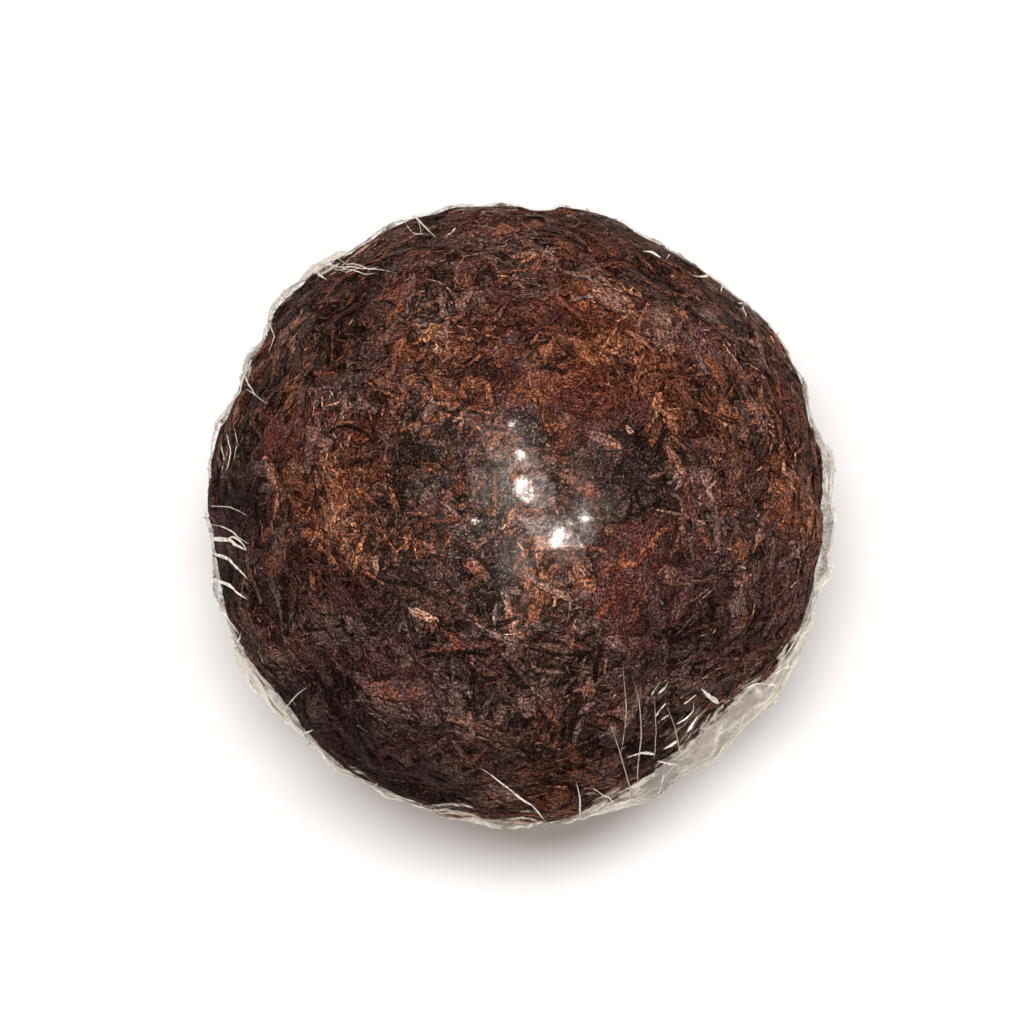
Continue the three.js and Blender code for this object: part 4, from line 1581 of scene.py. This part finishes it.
def crease_lines(leaf, rng, small, rings):
    """Places along each crease as (azimuth, run), with its width and height: the creases of the photograph,
    then small ones strewn round the rim, most of which run up the cap and the rest along the rim."""
    share = np.linspace(0, 1, rings)
    pixels_per_mm = PICTURE * MM / bpy.context.scene.tea_stage.view_width
    lines, sizes = [], []
    for points, width, height in CREASES:
        marks = np.array(points, float)
        way = unit(marks[-1] - marks[0])
        run = run_along(marks) / run_along(marks)[-1]
        for n in range(1 + (width > CREASE_BROAD)):
            first, last = (0, 1) if n == 0 else np.sort(rng.uniform(0, 1, 2))
            along = between((first, last), share)
            aside = rng.normal(0, CREASE_ASIDE) * width * pixels_per_mm * (n > 0) * np.sin(math.pi * share)
            line = np.stack([np.interp(along, run, axis) for axis in marks.T], axis=1)
            lines.append(line + aside[:, None] * np.array([-way[1], way[0]]))
            sizes.append((width * CREASE_WIDTHS[n], height * rng.uniform(*CREASE_HEIGHTS)))
    azimuth, run = on_cap(leaf, np.array(lines))
    sizes = np.array(sizes)

    centre_azimuth = rng.uniform(0, 2 * math.pi, small)
    centre_run = leaf.rim + rng.normal(*SMALL_RUN, small)
    facing, round_way = leaf.facing(centre_azimuth, centre_run)
    upright = rng.uniform(0, 1, small) < UPRIGHT_SHARE
    turn = (np.where(upright, math.pi / 2, 0) + rng.normal(0, SMALL_TURN, small))[:, None]
    way = round_way * np.cos(turn) + np.cross(facing, round_way) * np.sin(turn)
    reach = (rng.uniform(*SMALL_LENGTH, small)[:, None] * (share - 0.5))[..., None]
    bow = (rng.normal(0, SMALL_BOW, small)[:, None] * (1 - (2 * share - 1) ** 2))[..., None]
    centre = leaf.place(centre_azimuth, centre_run, 0)
    strewn = centre[:, None] + way[:, None] * reach + np.cross(facing, way)[:, None] * bow
    strewn_azimuth, strewn_run = leaf.find(strewn)
    strewn_sizes = [rng.uniform(*limits, small) for limits in (SMALL_WIDTH, SMALL_HEIGHT)]
    return (
        np.concatenate([azimuth, strewn_azimuth]),
        np.concatenate([run, strewn_run]),
        np.concatenate([sizes, np.stack(strewn_sizes, axis=1)]),
    )


def crease_points(film, rng, azimuth, run, sizes):
    """Closed ridges along lines on the film: at share u the section is a tent with its foot in the film, of
    half-width = width / 2 * swell and height * swell, where swell is (4 u (1 - u))^0.6 times a random part,
    and more towards the end that is nearer to the rim."""
    leaf = film.leaf
    count, rings = azimuth.shape
    stand = film.stand_at(azimuth, run)
    centre = leaf.place(azimuth, run, stand)
    facing, _ = leaf.facing(azimuth, run)
    along = unit(np.gradient(centre, axis=1))
    across = np.cross(facing, along)
    u = np.linspace(0, 1, rings)
    low, high = run.min(1, keepdims=True), run.max(1, keepdims=True)
    swell = (4 * u * (1 - u)) ** SWELL_POWER * rng.uniform(*SWELL_RAGGED, (count, rings))
    swell = swell * between(SWELL_TO_RIM, (run - low) / np.maximum(high - low, LEAST_RUN))
    half = sizes[:, :1] / 2 * swell
    tall = sizes[:, 1:] * swell
    lean = rng.uniform(-LEAN, LEAN, (count, 1)) * half
    sideways = np.stack([half, lean, -half, 0 * half], axis=-1)[..., None]
    upward = np.stack([0 * tall, tall, 0 * tall, -ROOT * tall], axis=-1)[..., None] - CREASE_SINK
    ring = centre[:, :, None] + across[:, :, None] * sideways + facing[:, :, None] * upward
    body = ring[:, 1:-1].reshape(count, -1, 3)
    return np.concatenate([body, centre[:, :1], centre[:, -1:]], axis=1)


class TEA_OT_film(bpy.types.Operator):
    """Wrap the leaf in clear film, tight on the cap, pleated round the rim and creased"""

    bl_idname = "tea.film"
    bl_label = "Film"

    def execute(self, context):
        leaf, looks = skin(), context.scene.tea_film
        film = Film(leaf, looks)
        points = leaf.place(film.grid.azimuth, film.grid.run, film.stand)
        parts = ("veil", "pale", "crown", "glint", "skirt", "pleat")
        values = {part: getattr(film, part) for part in parts}
        wrap = put_mesh("film_wrap", points, film.grid.faces, {"OFBake": film.grid.bake}, values)
        rng = np.random.default_rng(CREASE_SEED)
        rings = CREASE_RINGS
        lines = crease_lines(leaf, rng, looks.small_creases, rings)
        ridges = crease_points(film, rng, *lines)
        count, each = ridges.shape[:2]
        faces = spindle_faces(count, rings - 2, 4)
        maps = {"OFBake": spindle_bake(count, rings - 2, 4)}
        bright = np.clip(BRIGHT_LEAST + BRIGHT_BY_WIDTH * lines[2][:, :1], 0, 1)
        bright = bright * rng.uniform(*BRIGHT_RAGGED, (count, each))
        none = np.zeros(count * each)
        # The creases' milky white is partly painted highlight
        values = {**dict.fromkeys(parts, none), "veil": bright.ravel(), "pale": none + CREASE_WHITE}
        sharp = math.radians(CREASE_SHARP)
        creases = put_mesh("film_creases", ridges.reshape(-1, 3), faces, maps, values, sharp)
        hand_over(wrap, film_finish("clear_film", 0.0), "clear_film", "film")
        hand_over(creases, film_finish("creased_film", CREASE_MILK), "clear_film", "film")
        wrap.visible_shadow = False
        wrap.visible_diffuse = False
        return {"FINISHED"}


def look_at(item, place, target):
    """Puts an object at a place, facing a target, with the picture's upright towards +Y or up."""
    item.location = place
    item.rotation_euler = (Vector(target) - Vector(place)).to_track_quat("-Z", "Y").to_euler()


def add_softbox(name, place, target, size, depth, power):
    """An oval soft light."""
    light = bpy.data.lights.new(name, "AREA")
    light.shape = "ELLIPSE"
    light.size = size
    light.size_y = depth
    light.energy = power
    item = bpy.data.objects.new(name, light)
    bpy.context.scene.collection.objects.link(item)
    look_at(item, place, target)


def floor_finish(shade):
    """Matt pale floor, hardly uneven."""
    finish = Finish("pale_floor")
    grain = finish.noise(finish.millimetres(), scale=0.02, detail=3)
    tint = finish.blend(grain * 0.05, (*shade, 1), (*(0.94 * part for part in shade), 1))
    return finish.surface(finish.node("ShaderNodeBsdfPrincipled", {}, {"Base Color": tint, "Roughness": 0.9}))


def surround_light(strength, tint):
    """A pale surround that is bright at the horizon and dim overhead, as in a white cove."""
    world = bpy.data.worlds.new("studio")
    bpy.context.scene.world = world
    world.use_nodes = True
    tree = world.node_tree
    background = tree.nodes["Background"]
    place = tree.nodes.new("ShaderNodeTexCoord")
    split = tree.nodes.new("ShaderNodeSeparateXYZ")
    ramp = tree.nodes.new("ShaderNodeValToRGB")
    stops = [(stop, [level * part for part in tint]) for stop, level in SURROUND_LEVELS]
    Finish.set_stops(ramp.color_ramp, stops)
    tree.links.new(place.outputs["Generated"], split.inputs[0])
    tree.links.new(split.outputs["Z"], ramp.inputs[0])
    tree.links.new(ramp.outputs[0], background.inputs["Color"])
    background.inputs["Strength"].default_value = strength


class TEA_OT_stage(bpy.types.Operator):
    """Set the pale floor, the soft light and the camera that looks down on the cap"""

    bl_idname = "tea.stage"
    bl_label = "Stage"

    def execute(self, context):
        looks, scene = context.scene.tea_stage, context.scene
        rim = context.scene.tea_sizes.rim_height
        signs = ((-1, -1), (1, -1), (1, 1), (-1, 1))
        corners = np.array([[FLOOR_HALF * x, FLOOR_HALF * y, FLOOR_HEIGHT] for x, y in signs])
        floor = put_mesh("floor", corners, (np.array([[0, 1, 2, 3]]),), {}, {})
        floor.data.materials.append(floor_finish(looks.floor))
        stand, aim, _ = camera_place()
        camera = bpy.data.cameras.new("camera")
        camera.sensor_width = SENSOR
        camera.lens = camera.sensor_width * looks.distance / looks.view_width
        item = bpy.data.objects.new("camera", camera)
        scene.collection.objects.link(item)
        look_at(item, stand, aim)
        scene.camera = item
        add_softbox(
            "overhead_softbox", SOFTBOX_PLACE, (0, 0, rim), looks.softbox_width, looks.softbox_depth,
            looks.softbox,
        )
        surround_light(looks.surround, looks.surround_tint)
        scene.view_settings.view_transform = "Standard"
        return {"FINISHED"}


class TEA_PT_sidebar(bpy.types.Panel):
    """Lists the steps and what they use"""

    bl_idname = "TEA_PT_sidebar"
    bl_label = "Pressed tea mushroom"
    bl_space_type = "VIEW_3D"
    bl_region_type = "UI"
    bl_category = "Tea"

    def draw(self, context):
        for operator in OPERATORS:
            self.layout.operator(operator.bl_idname)
        for group in GROUPS:
            held = getattr(context.scene, group)
            for name in held.bl_rna.properties.keys():
                if name not in ("rna_type", "name"):
                    self.layout.prop(held, name)


GROUPS = {"tea_sizes": TeaSizes, "tea_leaf": LeafLooks, "tea_film": FilmLooks, "tea_stage": StageLooks}
OPERATORS = (TEA_OT_leaf_body, TEA_OT_leaf_litter, TEA_OT_film, TEA_OT_stage)


def register():
    """Registers the property groups, the operators and the panel."""
    for name, group in GROUPS.items():
        bpy.utils.register_class(group)
        setattr(bpy.types.Scene, name, PointerProperty(type=group))
    for item in (*OPERATORS, TEA_PT_sidebar):
        bpy.utils.register_class(item)


def unregister():
    """Takes back what register added."""
    for item in (TEA_PT_sidebar, *reversed(OPERATORS)):
        bpy.utils.unregister_class(item)
    for name, group in reversed(GROUPS.items()):
        delattr(bpy.types.Scene, name)
        bpy.utils.unregister_class(group)


def main():
    """Makes the pieces in order."""
    register()
    bpy.ops.tea.leaf_body()
    bpy.ops.tea.leaf_litter()
    bpy.ops.tea.film()
    bpy.ops.tea.stage()


if __name__ == "__main__":
    main()
